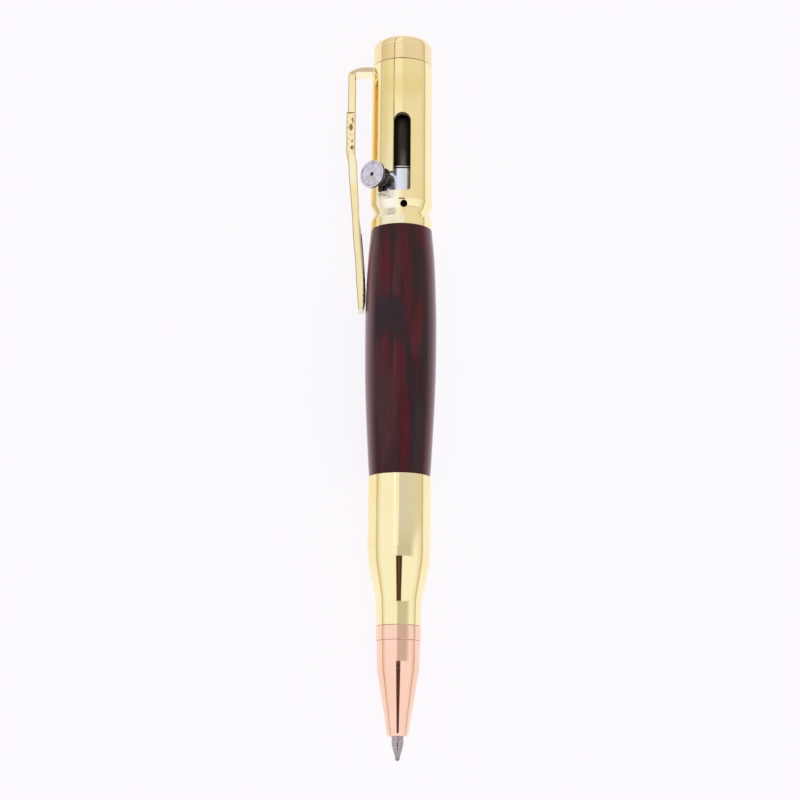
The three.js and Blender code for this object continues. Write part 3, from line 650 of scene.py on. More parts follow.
def lacquered_wood(name):
    """Dark wood in red, violet and slate streaks with brown fibres and fine pores, under a gloss lacquer."""
    f = Finish(name)
    sway = (f.noise(f.vector(f.x * 0.30, f.y * 0.07, f.z * 0.30 + 4.0), rough=0.6) - 0.5) * 1.7
    across, depth = f.x + sway, f.z + sway * 0.5
    sheet = f.noise(f.vector(across * 0.40, f.y * 0.050 + 3.1, depth * 0.24), warp=0.3)
    patch = f.noise(f.vector(across * 0.34 + 7.7, f.y * 0.055, depth * 0.30 + 2.2), warp=0.2)
    cool = f.noise(f.vector(across * 0.45 + 1.4, f.y * 0.040 + 8.0, depth * 0.35), detail=2.0)
    fibre = f.noise(f.vector(across * 2.6, f.y * 0.10, depth * 2.6), detail=5.0, rough=0.65)
    thread = f.noise(f.vector(across * 6.5, f.y * 0.30, depth * 6.5), rough=0.6)
    pore = thread.between(0.62, 0.72)
    front = f.z.between(-2, 1)

    def streaks(places):
        total = 0
        for station, aside, long, wide in places:
            off_middle = ((across - aside) / wide) ** 2 + ((f.y - station + sway * 2) / long) ** 2
            total = off_middle.between(1.9, 0.0) + total
        return total * front

    red, warm, slate = streaks(RED_STREAKS), streaks(WARM_STREAKS), streaks(SLATE_STREAKS)
    plum, brown = (0.046, 0.0105, 0.0145), (0.068, 0.0080, 0.0140)
    # The lacquer's sheen: pale at a glancing angle, and a little more on the left
    glancing = f.node("ShaderNodeLayerWeight", None, {"Blend": 0.5}, "Facing")
    sheen = glancing.between(0.26, 0.8) * 0.85 + f.x.between(-4.9, -6.6) * f.z.between(-3, 0) * 0.2
    wood = f.layered(f.mix((sheet * 0.75 + red * 0.1).between(0.36, 0.66), plum, brown), [
        (cool.between(0.48, 0.64) * 0.7, (0.044, 0.0130, 0.0205)),
        (patch.between(0.50, 0.62) * 0.7 * (1 - red.between(0.2, 0.8)), (0.034, 0.0145, 0.0170)),
        (warm.between(0.05, 1.0) * 0.7, (0.082, 0.0235, 0.0265)),
        (slate.between(0.05, 0.95) * 0.8, (0.028, 0.0160, 0.0215)),
        (red.between(0.05, 1.15) * (0.45 + fibre * 0.6), (0.108, 0.0080, 0.0195)),
        (fibre.between(0.62, 0.36) * 0.35, (0.024, 0.0080, 0.0085)),
        (fibre.between(0.60, 0.74) * 0.3, (0.100, 0.0260, 0.0350)),
        (pore * 0.45, (0.010, 0.005, 0.0055)),
        (sheen, (0.26, 0.13, 0.17)),
    ])
    return f.set(Base_Color=wood,
                 Roughness=0.34 + fibre * 0.12,
                 Specular_IOR_Level=0.03,
                 Coat_Weight=1.0,
                 Coat_IOR=1.25,
                 Coat_Roughness=0.03,
                 Normal=f.bump(fibre * 0.6 - pore, distance=0.004, strength=0.35))


YELLOW, YELLOW_DEEP = (0.985, 0.86, 0.53), (0.965, 0.83, 0.49)
GOLD = plated("gold_plate", YELLOW, YELLOW_DEEP, rough=0.055, seed=1.3)
SLOTTED_GOLD = slotted_plate("slotted_gold_plate", YELLOW, YELLOW_DEEP, rough=0.055, seed=2.6)
CAP_GOLD = plated("warm_gold_plate", (0.96, 0.785, 0.51), (0.94, 0.755, 0.47), rough=0.08, seed=5.1)
CLIP_GOLD = clip_plate("clip_gold_plate", (0.99, 0.90, 0.64), (0.975, 0.87, 0.60))
COPPER = plated("copper_plate", (0.985, 0.665, 0.54), (0.965, 0.63, 0.50), rough=0.06, seed=8.9)
KNOB_STEEL = faced_steel("knob_steel", (0.84, 0.81, 0.96), (0.50, 0.475, 0.60))
BOLT_STEEL = turned_steel("bolt_steel", (0.84, 0.86, 0.99), (0.73, 0.745, 0.88),
                          rough=0.20, ring_rate=5.0, ring_depth=0.003, seed=3.4)
TIP_STEEL = turned_steel("tip_steel", (0.60, 0.54, 0.58), (0.30, 0.26, 0.28),
                         rough=0.13, ring_rate=3.2, ring_depth=0.05, seed=4.6)
BALL_STEEL = turned_steel("ball_steel", (0.16, 0.14, 0.15), (0.09, 0.08, 0.085),
                          rough=0.15, ring_rate=5.0, ring_depth=0.002, seed=9.4)
STEM_STEEL = turned_steel("stem_steel", (0.22, 0.20, 0.19), (0.045, 0.04, 0.036),
                          rough=0.30, ring_rate=6.0, ring_depth=0.010, seed=6.1)
BRASS = turned_steel("turned_brass", (0.72, 0.52, 0.24), (0.60, 0.42, 0.18),
                     rough=0.30, ring_rate=4.0, ring_depth=0.006, seed=7.7)
# Dark brass for the upper bush inside the receiver: painted shade, as little light reaches it there
SHADED_BRASS = turned_steel("shaded_brass", (0.13, 0.085, 0.045), (0.07, 0.05, 0.028),
                          rough=0.40, ring_rate=4.0, ring_depth=0.006, seed=2.2)
BLACK = moulded("black_rod", (0.013, 0.0095, 0.0075), (0.008, 0.006, 0.0045), rough=0.26, seed=1.9)
HIGHLIT_BLACK = highlit_rod("highlit_black_rod", (0.026, 0.018, 0.0125), (0.23, 0.18, 0.155))
PALE = moulded("pale_plastic", (0.66, 0.65, 0.61), (0.58, 0.57, 0.53), rough=0.42, seed=3.3)
WOOD = lacquered_wood("lacquered_wood")


# Writing ball and tip
BALL_RADIUS, BALL_STEPS = 0.4, 24
ball_turns = [math.pi * k / BALL_STEPS for k in range(BALL_STEPS + 1)]
ball_line = [(BALL_RADIUS * math.sin(t), BALL_RADIUS - BALL_RADIUS * math.cos(t)) for t in ball_turns]
ball_line[0], ball_line[-1] = (0.0, 0.0), (0.0, 2 * BALL_RADIUS)
turned("writing_ball_polished", "writing_ball", "ball", ball_line, BALL_STEEL,
       closed=False, around=48)

TIP_RADIUS, TIP_TAIL_RADIUS, TIP_BORE = 1.175, 0.93, 0.3
TIP_SHOULDER, TIP_BACK = 9.98, 12.98
cup_line = [(0.43, 0.32), (0.44, 0.28), (0.46, 0.30), (0.52, 0.62), (0.47, 0.66), (0.49, 0.74)]
cone_line = [(0.87, 2.02), (0.95, 2.05), (0.985, 2.55), (1.06, 2.6), (1.11, 2.9), (1.16, 3.2),
             (TIP_RADIUS, 3.5)]
ring_line = [(TIP_RADIUS, 4.2), (1.14, 4.23), (1.14, 4.3), (TIP_RADIUS, 4.33)]
tail_line = [(TIP_RADIUS, TIP_SHOULDER), (TIP_TAIL_RADIUS, TIP_SHOULDER), (TIP_TAIL_RADIUS, TIP_BACK),
             (TIP_BORE, TIP_BACK), (TIP_BORE, 1.2), (0.43, 0.9)]
turned("refill_tip_turned", "refill_tip", "carriage",
       cup_line + cone_line + ring_line + tail_line, TIP_STEEL, around=96, ease=0.03)

# Nose cone and collar
NOSE_MOUTH, NOSE_FACE_RADIUS, NOSE_RADIUS = 1.305, 2.0, 4.37
SPRING_SEAT, SPRING_BORE, SPIGOT_BORE, SPIGOT_RADIUS = 8.8, 2.2, 3.05, 3.45
NOSE_ROWS = [(0, 0), (0.092, 0.143), (0.216, 0.283), (0.383, 0.525), (0.55, 0.727), (0.677, 0.923)]
NOSE_BACK_ROWS = [(0.677, 0.923), (0.83, 0.985), (1, 1)]
nose_line = [(NOSE_MOUTH, NOSE_FRONT), (NOSE_FACE_RADIUS - 0.18, NOSE_FRONT),
             (NOSE_FACE_RADIUS, NOSE_FRONT + 0.16)]
for rows, count in ((NOSE_ROWS, 28), (NOSE_BACK_ROWS, 10)):
    nose_line += profile(rows, NOSE_FRONT, NOSE_BACK, NOSE_FACE_RADIUS, NOSE_RADIUS, count)[1:]
nose_line += [
    (NOSE_RADIUS - 0.05, NOSE_BACK), (SPIGOT_RADIUS, NOSE_BACK), (SPIGOT_RADIUS, SPIGOT_BACK),
    (SPIGOT_BORE, SPIGOT_BACK), (SPIGOT_BORE, 14.7), (SPRING_BORE, 14.3), (SPRING_BORE, SPRING_SEAT),
    (NOSE_MOUTH, SPRING_SEAT),
]
turned("nose_cone_plated", "nose_cone", "nose", nose_line, COPPER, ease=0.06)

COLLAR_BORE, COLLAR_RADIUS = 3.55, 4.475
collar_line = [(COLLAR_BORE, COLLAR_FRONT), (COLLAR_RADIUS, COLLAR_FRONT), (COLLAR_RADIUS, COLLAR_BACK),
               (COLLAR_BORE, COLLAR_BACK)]
turned("nose_collar_plated", "nose_collar", "collar", collar_line, COPPER, ease=0.09)

# Lower case
NECK_BORE, NECK_RADIUS, CASE_BORE, CASE_RADIUS = 4.06, 4.565, 5.425, 6.325
SHOULDER_FRONT, SHOULDER_BACK = 30.4, 41.4
SHOULDER_ROWS = [(0, 0), (0.1, 0.05), (0.24, 0.235), (0.385, 0.44), (0.53, 0.64), (0.68, 0.825),
                 (0.818, 0.94), (1, 1)]
case_line = [(NECK_BORE, CASE_FRONT), (4.47, CASE_FRONT), (4.50, 28.2)]
case_line += profile(SHOULDER_ROWS, SHOULDER_FRONT, SHOULDER_BACK, NECK_RADIUS, CASE_RADIUS, 26)
case_line += [(CASE_RADIUS, CASE_BACK), (CASE_BORE, CASE_BACK), (CASE_BORE, 42.3), (NECK_BORE, 37.1)]
turned("lower_case_plated", "lower_case", "pen_body", case_line, GOLD, ease=0.06)

# Wooden barrel
WOOD_BORE, WOOD_END_RADIUS, WOOD_RADIUS = 4.75, 6.33, 7.325
WOOD_ROWS = [
    (0, -0.17), (0.039, 0), (0.134, 0.29), (0.231, 0.56), (0.328, 0.78), (0.424, 0.93), (0.521, 0.99),
    (0.62, 1), (0.719, 0.88), (0.793, 0.77), (0.868, 0.583), (0.919, 0.387), (0.967, 0.15), (1, 0),
]
wood_line = [(WOOD_BORE, WOOD_FRONT)]
wood_line += profile(WOOD_ROWS, WOOD_FRONT, WOOD_BACK, WOOD_END_RADIUS, WOOD_RADIUS, 90)
wood_line += [(WOOD_BORE, WOOD_BACK)]
turned("wood_barrel_lacquered", "wood_barrel", "pen_body", wood_line, WOOD)

# Cap: a spigot with a hollow, a band with a fine line turned in it, and a crown
CAP_RADIUS, CAP_SPIGOT_RADIUS, CAP_HOLLOW_RADIUS, CAP_HOLLOW_BACK = 6.15, 4.2, 3.65, 144.9
CAP_LINE_FRONT, CAP_LINE_BACK, CAP_LINE_DEPTH = 147.18, 147.45, 0.07
CROWN_FRONT, CROWN_FLAT_RADIUS = 146.9, 3.8
CROWN_ROWS = [(0.26, 0), (0.3, 0.004), (0.48, 0.034), (0.64, 0.106), (0.78, 0.234), (0.88, 0.426),
              (0.96, 0.702), (1, 1)]
cap_line = [
    (0.0, CAP_HOLLOW_BACK), (CAP_HOLLOW_RADIUS, CAP_HOLLOW_BACK), (CAP_HOLLOW_RADIUS, CAP_SPIGOT_FRONT),
    (CAP_SPIGOT_RADIUS, CAP_SPIGOT_FRONT), (CAP_SPIGOT_RADIUS, CAP_FRONT), (CAP_RADIUS - 0.11, CAP_FRONT),
    (CAP_RADIUS, CAP_FRONT + 0.12), (CAP_RADIUS, CAP_LINE_FRONT),
    (CAP_RADIUS - CAP_LINE_DEPTH, CAP_LINE_FRONT + CAP_LINE_DEPTH),
    (CAP_RADIUS - CAP_LINE_DEPTH, CAP_LINE_BACK - CAP_LINE_DEPTH), (CAP_RADIUS, CAP_LINE_BACK),
]
cap_line += profile(CROWN_ROWS, CROWN_FRONT, CAP_BACK, CAP_RADIUS, CROWN_FLAT_RADIUS, 22)
cap_line += [(0.0, CAP_BACK)]
turned("tail_cap_plated", "tail_cap", "pen_body", cap_line, CAP_GOLD, closed=False, ease=0.06)


# Receiver with its hooked slot
def window(half, foot, head, corner, corner_steps=5, head_steps=28):
    """An upright window with small corners at its foot and a full round at its head."""
    def arc(across, along, radius, start, end, count):
        turns = [start + (end - start) * k / count for k in range(count + 1)]
        return [(across + radius * math.cos(t), along + radius * math.sin(t)) for t in turns]
    quarter = math.pi / 2
    return (arc(half - corner, foot + corner, corner, -quarter, 0, corner_steps)
            + arc(0, head - half, half, 0, 2 * quarter, head_steps)
            + arc(corner - half, foot + corner, corner, 2 * quarter, 3 * quarter, corner_steps))


def sector(reach, low_turn, high_turn, steps=18):
    """A flat slice from the axis outwards, for a cut that is swept about the pen's axis."""
    turns = [low_turn + (high_turn - low_turn) * k / steps for k in range(steps + 1)]
    return [(0.0, 0.0)] + [(-reach * math.sin(t), -reach * math.cos(t)) for t in reversed(turns)]


RIM_RADIUS, RIM_BACK = 6.3, 109.65
GROOVE_LINE = [(6.15, 110.15), (5.95, 110.75), (5.87, 111.1), (5.85, 111.4), (5.87, 111.7), (6.12, 112.3),
               (6.37, 112.85)]
CUT_REACH, SLOT_CORNER, RECESS_LONG, HOLE_FLOOR = 7.35, 0.6, 4.9, 3.75
TAB_GAP = 0.1
receiver_line = [
    (RECEIVER_BORE, RECEIVER_FRONT), (RIM_RADIUS, RECEIVER_FRONT), (RIM_RADIUS, RIM_BACK), *GROOVE_LINE,
    (RECEIVER_RADIUS, GROOVE_BACK), (RECEIVER_TAIL_RADIUS, RECEIVER_BACK - 0.08),
    (RECEIVER_TAIL_RADIUS - 0.1, RECEIVER_BACK), (RECEIVER_BORE, RECEIVER_BACK),
]
receiver_line = eased(receiver_line + receiver_line[:1], 0.05)[:-1]
slot_window = window(SLOT_WIDTH / 2, SLOT_FRONT, SLOT_BACK, SLOT_CORNER)
recess_window = window(STEM_RADIUS + 0.15, SLOT_FRONT, SLOT_FRONT + RECESS_LONG, SLOT_CORNER)
passage_back = STEM_AT + STEM_RADIUS + 0.12
hole_round = ellipse(0, HOLE_AT, HOLE_RADIUS, HOLE_RADIUS, 40)
tab_front, tab_half = TAB_FRONT - TAB_GAP, CLIP_HALF_WIDTH + TAB_GAP
notch_root, notch_back = -3, RECEIVER_BACK + 1.3
tab_notch = [(-CUT_REACH, tab_front), (notch_root, tab_front), (notch_root, notch_back),
             (-CUT_REACH, notch_back)]
slot_tools = [
    prism_mesh("slot_tool", slot_window, 0, CUT_REACH),
    prism_mesh("recess_tool", recess_window, 0, CUT_REACH, -HANDLE_ANGLE),
    prism_mesh("passage_tool", sector(CUT_REACH, 0, HANDLE_ANGLE), SLOT_FRONT, passage_back, along_pen=True),
    prism_mesh("hole_tool", hole_round, HOLE_FLOOR, CUT_REACH, HOLE_TURN),
    prism_mesh("tab_tool", tab_notch, -tab_half, tab_half),
]
receiver_mesh = cut_mesh(turned_mesh("receiver", receiver_line, around=240), slot_tools, edge=0.07)
true_round(receiver_mesh, receiver_line)
finished("receiver_plated", receiver_mesh, "pen_body", "receiver", SLOTTED_GOLD, sharp=0)

# Bolt: a steel body with a dark line turned in it, and the black rod behind
BOLT_RADIUS, BOLT_LINE_RADIUS, BOLT_LINE_FRONT, BOLT_LINE_BACK = 4.7, 4.42, 120.06, 120.36
BOLT_POCKET_RADIUS, ROD_RADIUS, ROD_CHAMFER = 2.0, 3.5, 0.3
bolt_line = [
    (0, BOLT_FRONT + 0.5), (BOLT_POCKET_RADIUS, BOLT_FRONT + 0.5), (BOLT_POCKET_RADIUS, BOLT_FRONT),
    (BOLT_RADIUS, BOLT_FRONT), (BOLT_RADIUS, BOLT_LINE_FRONT), (BOLT_LINE_RADIUS, BOLT_LINE_FRONT + 0.06),
    (BOLT_LINE_RADIUS, BOLT_LINE_BACK - 0.06), (BOLT_RADIUS, BOLT_LINE_BACK), (BOLT_RADIUS, BOLT_BACK - 0.1),
    (BOLT_RADIUS - 0.1, BOLT_BACK), (BOLT_POCKET_RADIUS + 0.07, BOLT_BACK),
    (BOLT_POCKET_RADIUS + 0.07, ROD_FRONT - SEAM), (0, ROD_FRONT - SEAM),
]
bolt_body = turned("bolt_body_turned", "bolt_body", "bolt", bolt_line, BOLT_STEEL,
                   closed=False, ease=0.03)
bolt_body.data.materials.append(STEM_STEEL)
for face in bolt_body.data.polygons:
    station, radius = face.center.y / MM, math.hypot(face.center.x, face.center.z) / MM
    if BOLT_LINE_FRONT - 0.01 < station < BOLT_LINE_BACK + 0.01 and radius > BOLT_LINE_RADIUS - 0.12:
        face.material_index = 1
rod_line = [
    (0, ROD_FRONT), (BOLT_POCKET_RADIUS, ROD_FRONT), (BOLT_POCKET_RADIUS, BOLT_BACK + SEAM),
    (ROD_RADIUS, BOLT_BACK + SEAM), (ROD_RADIUS, ROD_BACK - ROD_CHAMFER),
    (ROD_RADIUS - ROD_CHAMFER, ROD_BACK), (0, ROD_BACK),
]
turned("bolt_rod_black", "bolt_rod", "bolt", rod_line, HIGHLIT_BLACK, closed=False, ease=0.12)

# Handle: stem and knob, along the handle's own axis
STEM_FOOT, STEM_TOP, STEM_LINE_RADIUS = 2.6, 9.9, 1.27
stem_line = [(0, STEM_FOOT), (STEM_RADIUS, STEM_FOOT), (STEM_RADIUS, 6.55), (STEM_LINE_RADIUS, 6.68),
             (STEM_LINE_RADIUS, 6.95), (STEM_RADIUS, 7.1), (STEM_RADIUS, STEM_TOP), (0, STEM_TOP)]
turned("handle_stem_turned", "handle_stem", "bolt", stem_line, STEM_STEEL, closed=False,
       placed=HANDLE, around=96, ease=0.06)
KNOB_BORE, KNOB_BACK, KNOB_RIM = STEM_RADIUS + 0.08, 8.4, 10.7
knob_line = [
    (0, STEM_TOP + 0.1), (KNOB_BORE, STEM_TOP + 0.1), (KNOB_BORE, KNOB_BACK), (1.75, KNOB_BACK),
    (1.95, 8.62), (2.65, 9.6), (KNOB_RADIUS, 9.9), (KNOB_RADIUS, KNOB_FACE), (2.78, KNOB_RIM),
    (2.6, KNOB_RIM), (2.46, KNOB_FACE), (2.3, KNOB_FACE), (2.2, 10.6), (1.2, 10.58), (0.5, 10.55),
    (KNOB_DIMPLE, 10.42), (0.12, 10.12), (0, 10.1),
]
turned("handle_knob_turned", "handle_knob", "bolt", knob_line, KNOB_STEEL, closed=False,
       placed=HANDLE, around=128, ease=0.06)


# Clip: one strap bent down from its tab, with raised blocks. Each row is a share of the clip's length from
# its top, and the shares of its reach at its outside and its inside there.
CLIP_ROWS = [
    (0.37, 0.995, 0.857), (0.4015, 0.98, 0.8255), (0.46, 0.966, 0.81), (0.509, 0.945, 0.796),
    (0.56, 0.924, 0.782), (0.61, 0.904, 0.772), (0.659, 0.889, 0.747), (0.708, 0.875, 0.714),
    (0.757, 0.854, 0.692), (0.805, 0.833, 0.673), (0.854, 0.818, 0.655), (0.903, 0.806, 0.6425),
    (0.926, 0.792, 0.6380), (0.951, 0.782, 0.638), (0.975, 0.774, 0.650), (1, 0.766, 0.680),
]
# The outer bend, as (x, drop from the top), and the blocks' steps, as shares of their length and height
BEND_POINTS = [(-7.8, 0), (-8.6, 0.06), (-9.15, 0.18), (-9.7, 0.36), (-10.2, 0.58), (-10.7, 0.84),
               (-11.1, 1.12), (-11.3, 1.36), (-11.38, 1.6), (-CLIP_REACH, 1.95)]
BLOCK_STEPS = [(0, 0), (0, 1), (0.61, 1), (0.61, 0.33), (0.69, 0.33), (0.69, 1), (0.76, 1), (0.76, 0.33),
               (0.84, 0.33), (0.84, 1), (1, 1), (1, 0)]
TAB_ROOT, INNER_BEND = -4.35, 0.35


def clip_outline():
    length = CLIP_TOP - CLIP_FOOT

    def strap_side(column):
        rows = [(length * row[0] - CLIP_TOP, CLIP_REACH * row[column]) for row in CLIP_ROWS]
        return [(-r, -a) for a, r in smooth_through(rows, 44)]

    quarter = math.pi / 2
    turns = [2 * quarter - quarter * k / 12 for k in range(13)]
    middle_x, middle_y = CLIP_THICK - CLIP_REACH + INNER_BEND, TAB_FRONT - INNER_BEND
    inner = [(middle_x + INNER_BEND * math.cos(t), middle_y + INNER_BEND * math.sin(t)) for t in turns]
    outer = [(x, CLIP_TOP - drop) for x, drop in BEND_POINTS]
    blocks = [(-CLIP_REACH - BLOCKS_HIGH * h, BLOCKS_BACK - BLOCKS_LONG * s) for s, h in BLOCK_STEPS]
    return ([(TAB_ROOT, CLIP_TOP)] + outer + blocks + strap_side(1) + strap_side(2)[::-1] + inner
            + [(TAB_ROOT, TAB_FRONT)])


def chamfered_prism(name, outline, half, edge, plain):
    """A prism across the strap, chamfered along both sides. Points that plain picks move straight inwards."""
    points = [Vector(p) for p in outline]
    inner = []
    for k, here in enumerate(points):
        before, after = points[k - 1], points[(k + 1) % len(points)]
        a, b = (here - before).normalized(), (after - here).normalized()
        left_a, left_b = Vector((-a.y, a.x)), Vector((-b.y, b.x))
        mitre = (left_a + left_b) / max(0.4, 1 + left_a.dot(left_b))
        inner.append(here + (Vector((edge, 0)) if plain(here) else mitre * edge))
    made = bmesh.new()
    layers = []
    for ring, depth in ((inner, -half), (points, -half + edge), (points, half - edge), (inner, half)):
        layers.append([made.verts.new((p.x * MM, p.y * MM, depth * MM)) for p in ring])
    count = len(points)
    made.faces.new(list(reversed(layers[0])))
    made.faces.new(layers[3])
    for low, high in zip(layers, layers[1:]):
        for k in range(count):
            n = (k + 1) % count
            made.faces.new((low[k], low[n], high[n], high[k]))
    bmesh.ops.recalc_face_normals(made, faces=made.faces)
    return mesh_of(name, made)


def on_blocks(point):
    """Whether a point of the clip's outline is on its raised blocks."""
    return BLOCKS_FRONT - 0.1 < point.y < BLOCKS_BACK + 0.1 and point.x < 0.4 - CLIP_REACH


# Dents in the blocks, as (station, x, length along the clip, width)
DENTS = [(133.1, -10.75, 0.3, 1.7), (131.5, -10.35, 1.2, 0.35), (129.9, -10.7, 1.5, 0.8),
         (126.9, -10.45, 0.55, 0.4), (125.4, -10.35, 0.9, 0.95)]
DENT_FLOOR, DENT_TOP = 1.8, 3
clip_line = clip_outline()
if twice_area(clip_line) < 0:
    clip_line.reverse()
dents = [prism_mesh("dent_tool", ellipse(x, station, wide / 2, long / 2, 24), DENT_FLOOR, DENT_TOP)
         for station, x, long, wide in DENTS]
clip_mesh = chamfered_prism("clip", clip_line, CLIP_HALF_WIDTH, edge=0.2, plain=on_blocks)
clip_mesh = cut_mesh(clip_mesh, dents)
finished("clip_plated", clip_mesh, "clip", "clip", CLIP_GOLD, sharp=28)


# Return spring: one round wire wound round the tip holder, between the ends of its solid. The real spring
# shortens as the bolt is pushed forward; this mesh does not.
def wound_wire(front, back, radius, wire, turns, steps=40, sides=12):
    made = bmesh.new()
    rings = []
    count = turns * steps
    slope = (back - front) / (2 * math.pi * turns * radius)
    for k in range(count + 1):
        t = 2 * math.pi * k / steps
        middle = Vector((radius * math.sin(t), front + (back - front) * k / count, radius * math.cos(t)))
        out = Vector((math.sin(t), 0, math.cos(t)))
        along = Vector((math.cos(t), slope, -math.sin(t))).normalized()
        up = along.cross(out)
        ring = []
        for n in range(sides):
            a = 2 * math.pi * n / sides
            ring.append(made.verts.new((middle + (out * math.cos(a) + up * math.sin(a)) * wire) * MM))
        rings.append(ring)
    for low, high in zip(rings, rings[1:]):
        for n in range(sides):
            made.faces.new((low[n], low[(n + 1) % sides], high[(n + 1) % sides], high[n]))
    made.faces.new(list(reversed(rings[0])))
    made.faces.new(rings[-1])
    bmesh.ops.recalc_face_normals(made, faces=made.faces)
    return mesh_of("return_spring", made)


SPRING_WIRE, SPRING_TURNS, SPRING_PUSH = 0.18, 8, 1.05
spring_low, spring_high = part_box("return_spring")
spring_front = (spring_low[1] - PEN.translation.y) / MM
spring_back = (spring_high[1] - PEN.translation.y) / MM
spring_radius = (spring_high[0] - spring_low[0]) / MM / 2 - SPRING_WIRE
spring_mesh = wound_wire(spring_front + SPRING_WIRE, spring_back - SPRING_WIRE, spring_radius, SPRING_WIRE,
                         SPRING_TURNS)
spring = finished("return_spring_wound", spring_mesh, "carriage", "return_spring", BOLT_STEEL,
                  sharp=40)
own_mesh(spring)

# Inner pieces keep their solids and take their finishes
for name, finish in {
    "refill_tip_holder": PALE, "refill_tube": TIP_STEEL, "refill_end_plug": PALE,
    "nose_thread_bush": BRASS, "lower_bush": BRASS, "barrel_tube": BRASS,
    "upper_bush": SHADED_BRASS, "tail_bush": BRASS, "push_rod": BLACK,
}.items():
    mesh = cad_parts[name].data
    for k in range(max(1, len(mesh.materials))):
        if k < len(mesh.materials):
            mesh.materials[k] = finish
        else:
            mesh.materials.append(finish)


# Floor, light and camera
def pale_floor():
    """Pale paper to the camera, matt to soft light, and clear to the plating, which mirrors the studio."""
    half, level = 3.0, -2e-5
    mesh = bpy.data.meshes.new("floor")
    corners = [(-half, -half, level), (half, -half, level), (half, half, level), (-half, half, level)]
    mesh.from_pydata(corners, [], [(0, 1, 2, 3)])
    floor = new_object("floor", mesh)
    paper = bpy.data.materials.new("pale_floor")
    paper.use_nodes = True
    tree = paper.node_tree
    tree.nodes.clear()
    seen = node(tree, "ShaderNodeLightPath", output="Is Camera Ray")
    mirrored = node(tree, "ShaderNodeLightPath", output="Is Glossy Ray")
    white = node(tree, "ShaderNodeEmission", None, {"Color": (0.978, 0.952, 0.997), "Strength": 1.03})
    matt = node(tree, "ShaderNodeBsdfDiffuse", None, {"Color": (0.92, 0.885, 0.93)})
    clear = node(tree, "ShaderNodeBsdfTransparent")
    shown = node(tree, "ShaderNodeMixShader", None, {0: seen * 0.9, 1: matt, 2: white})
    both = node(tree, "ShaderNodeMixShader", None, {0: mirrored, 1: shown, 2: clear})
    end_tree(tree, "ShaderNodeOutputMaterial", both)
    mesh.materials.append(paper)


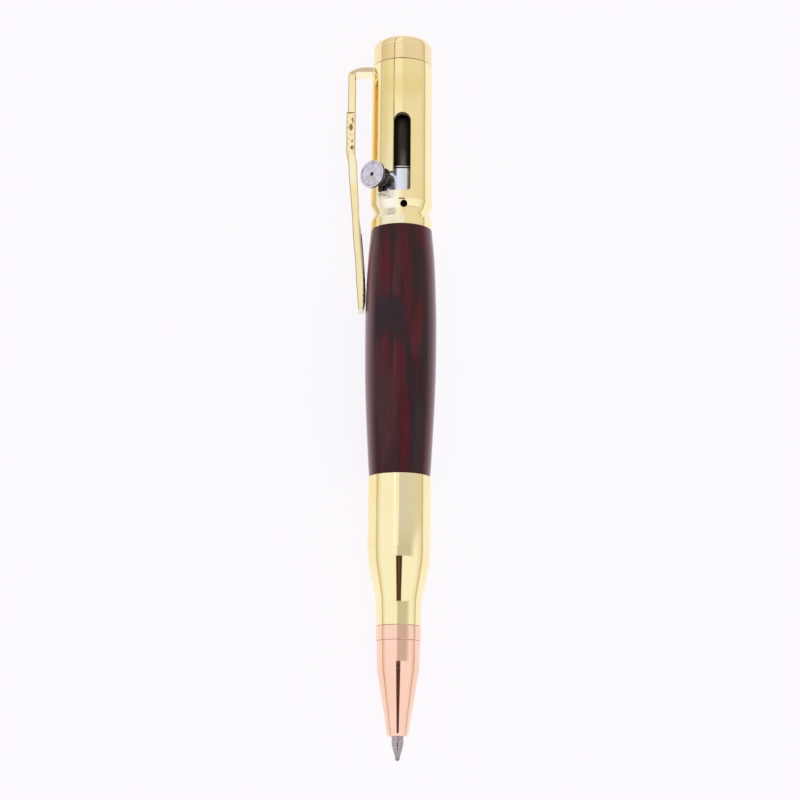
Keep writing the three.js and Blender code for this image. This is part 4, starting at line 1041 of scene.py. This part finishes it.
def surroundings(tree):
    """The panels that the plating mirrors, each laid over the ones before it.

    Angles are in degrees: turn is to the right of the slot's way, rise is towards the tail. In the camera's
    view the receiver and the cap mirror what rises 17 to 23 degrees, the lower case and the collar what rises
    5 to 11, and the shoulder and the nose cone, which flare, what lies lower, down to -25.
    """
    way = node(tree, "ShaderNodeTexCoord", output="Generated")
    front, side, tail = (node(tree, "ShaderNodeVectorMath", {"operation": "DOT_PRODUCT"},
                              {0: way, 1: tuple(axis)}, "Value") for axis in (SLOT_WAY, RIGHT_WAY, TAIL_WAY))
    turn = side.math("ARCTAN2", front) * (180 / math.pi)
    rise = tail.math("ARCSINE") * (180 / math.pi)

    above = rise.between(13.5, 15.5)
    from_left = turn.between(-85, -40)
    left_high = mixed(tree, from_left, (0.74, 0.68, 0.50), (0.90, 0.86, 0.71))
    left_low = mixed(tree, from_left, (0.74, 0.75, 0.86), (0.90, 0.95, 1.12))
    corner = (9.1 - rise).between(0, 0.75)
    right_edge = (92 - corner * 42 - turn) / (corner * 1.2 + 1)
    left_edge = turn + (9.6 - rise).between(0, 3) * 5
    grey = mixed(tree, turn.between(15, 75), (0.70, 0.71, 0.73), (0.755, 0.715, 0.655))
    panels = [
        # Above: a warm wall, its left part cooler lower down
        (above * span(turn, -88, 96, 2), (0.853, 0.82, 0.69)),
        (above * span(turn, -88, -31, 1.5), mixed(tree, rise.between(21.2, 18.8), left_high, left_low)),
        # A pale strip beside a dark line, from the slot's head to the cap
        (rise.between(18.2, 19) * span(turn, -29, 0, 2), (0.99, 0.965, 0.89)),
        (rise.between(18.2, 19) * span(turn, -35, -31, 1.2), (0.36, 0.33, 0.21)),
        # A cool light beside the handle
        (span(rise, 14.5, 18.85, 0.15) * span(turn, -80, 9, 7), (0.88, 0.96, 1.17)),
        # Deep gold on the far left, as the clip's inner face throws it, and a line under the cap
        (turn.between(-97, -103) * span(rise, 17.3, 22.1, 0.3), (1.0, 0.80, 0.40)),
        (span(rise, 22.0, 22.4, 0.1) * span(turn, -84, 80, 3), (0.76, 0.68, 0.40)),
        # The lower case: pale on the left, and a grey panel with a slanted foot
        (turn.between(-90, -96) * span(rise, 7.2, 13, 0.4), (0.99, 0.965, 0.87)),
        (span(rise, -0.8, 12.5, 0.3) * left_edge.between(-3, 0) * right_edge.between(-6, 6),
         mixed(tree, corner, grey, (0.63, 0.61, 0.555))),
        # Shade towards both sides of the pen, and a darker line near each side
        (turn.between(-66, -90) * turn.between(-92, -90), (0.80, 0.74, 0.60)),
        (turn.between(64, 92) * turn.between(96, 94) * 0.7, (0.78, 0.71, 0.56)),
        (span(turn, -94, -86, 3), (0.66, 0.59, 0.44)),
        (span(turn, 89, 97, 3), (0.62, 0.56, 0.42)),
        # Low in front: a dark upright shape, faintly split
        (span(rise, -25, -1.0, 0.6) * span(turn, -11, 12, 2), (0.075, 0.034, 0.018)),
        (span(rise, -24, -4, 1.5) * span(turn, -1.5, 2.5, 1), (0.17, 0.09, 0.05)),
        # A lamp on the left of the lower case, and its bright core
        (span(turn, -18.5, -15.5, 1) * span(rise, 8, 13.2, 0.8), (1.35, 1.35, 1.4)),
        (span(turn, -18.5, -16, 0.8) * span(rise, 10.3, 14.2, 0.5), (3.0, 2.9, 2.9)),
    ]
    return layered(tree, (1.0, 1.0, 1.0), panels)


def studio():
    """Soft light from all round, through the panels."""
    world = bpy.data.worlds.new("studio")
    bpy.context.scene.world = world
    world.use_nodes = True
    tree = world.node_tree
    tree.nodes.clear()
    light = node(tree, "ShaderNodeBackground", None, {"Color": surroundings(tree), "Strength": 1.0})
    end_tree(tree, "ShaderNodeOutputWorld", light)


def photo_camera():
    """The photograph's view: towards the slot from in front of the tip end, with the pen leaning a little."""
    sensor, picture_pixels, focal_pixels = 36.0, 800, 1950
    tilt, lean, distance = math.radians(12.6), math.radians(0.45), 0.396
    aim_station, aim_right = 72.13, -0.04
    data = bpy.data.cameras.new("camera")
    data.sensor_width, data.lens = sensor, sensor * focal_pixels / picture_pixels
    data.clip_start, data.clip_end = 0.01, 20
    camera = new_object("camera", data)
    target = PEN @ Vector((0, aim_station * MM, 0))
    back = (SLOT_WAY * math.cos(tilt) - TAIL_WAY * math.sin(tilt)).normalized()
    right = TAIL_WAY.cross(back).normalized()
    up = back.cross(right)
    right, up = (right * math.cos(lean) + up * math.sin(lean)), (up * math.cos(lean) - right * math.sin(lean))
    place = target + back * distance + right * aim_right * MM
    camera.matrix_world = Matrix((
        (right.x, up.x, back.x, place.x),
        (right.y, up.y, back.y, place.y),
        (right.z, up.z, back.z, place.z),
        (0, 0, 0, 1),
    ))
    bpy.context.scene.camera = camera


pale_floor()
studio()
photo_camera()
bpy.context.scene.view_settings.view_transform = "Standard"

bpy.context.view_layer.update()
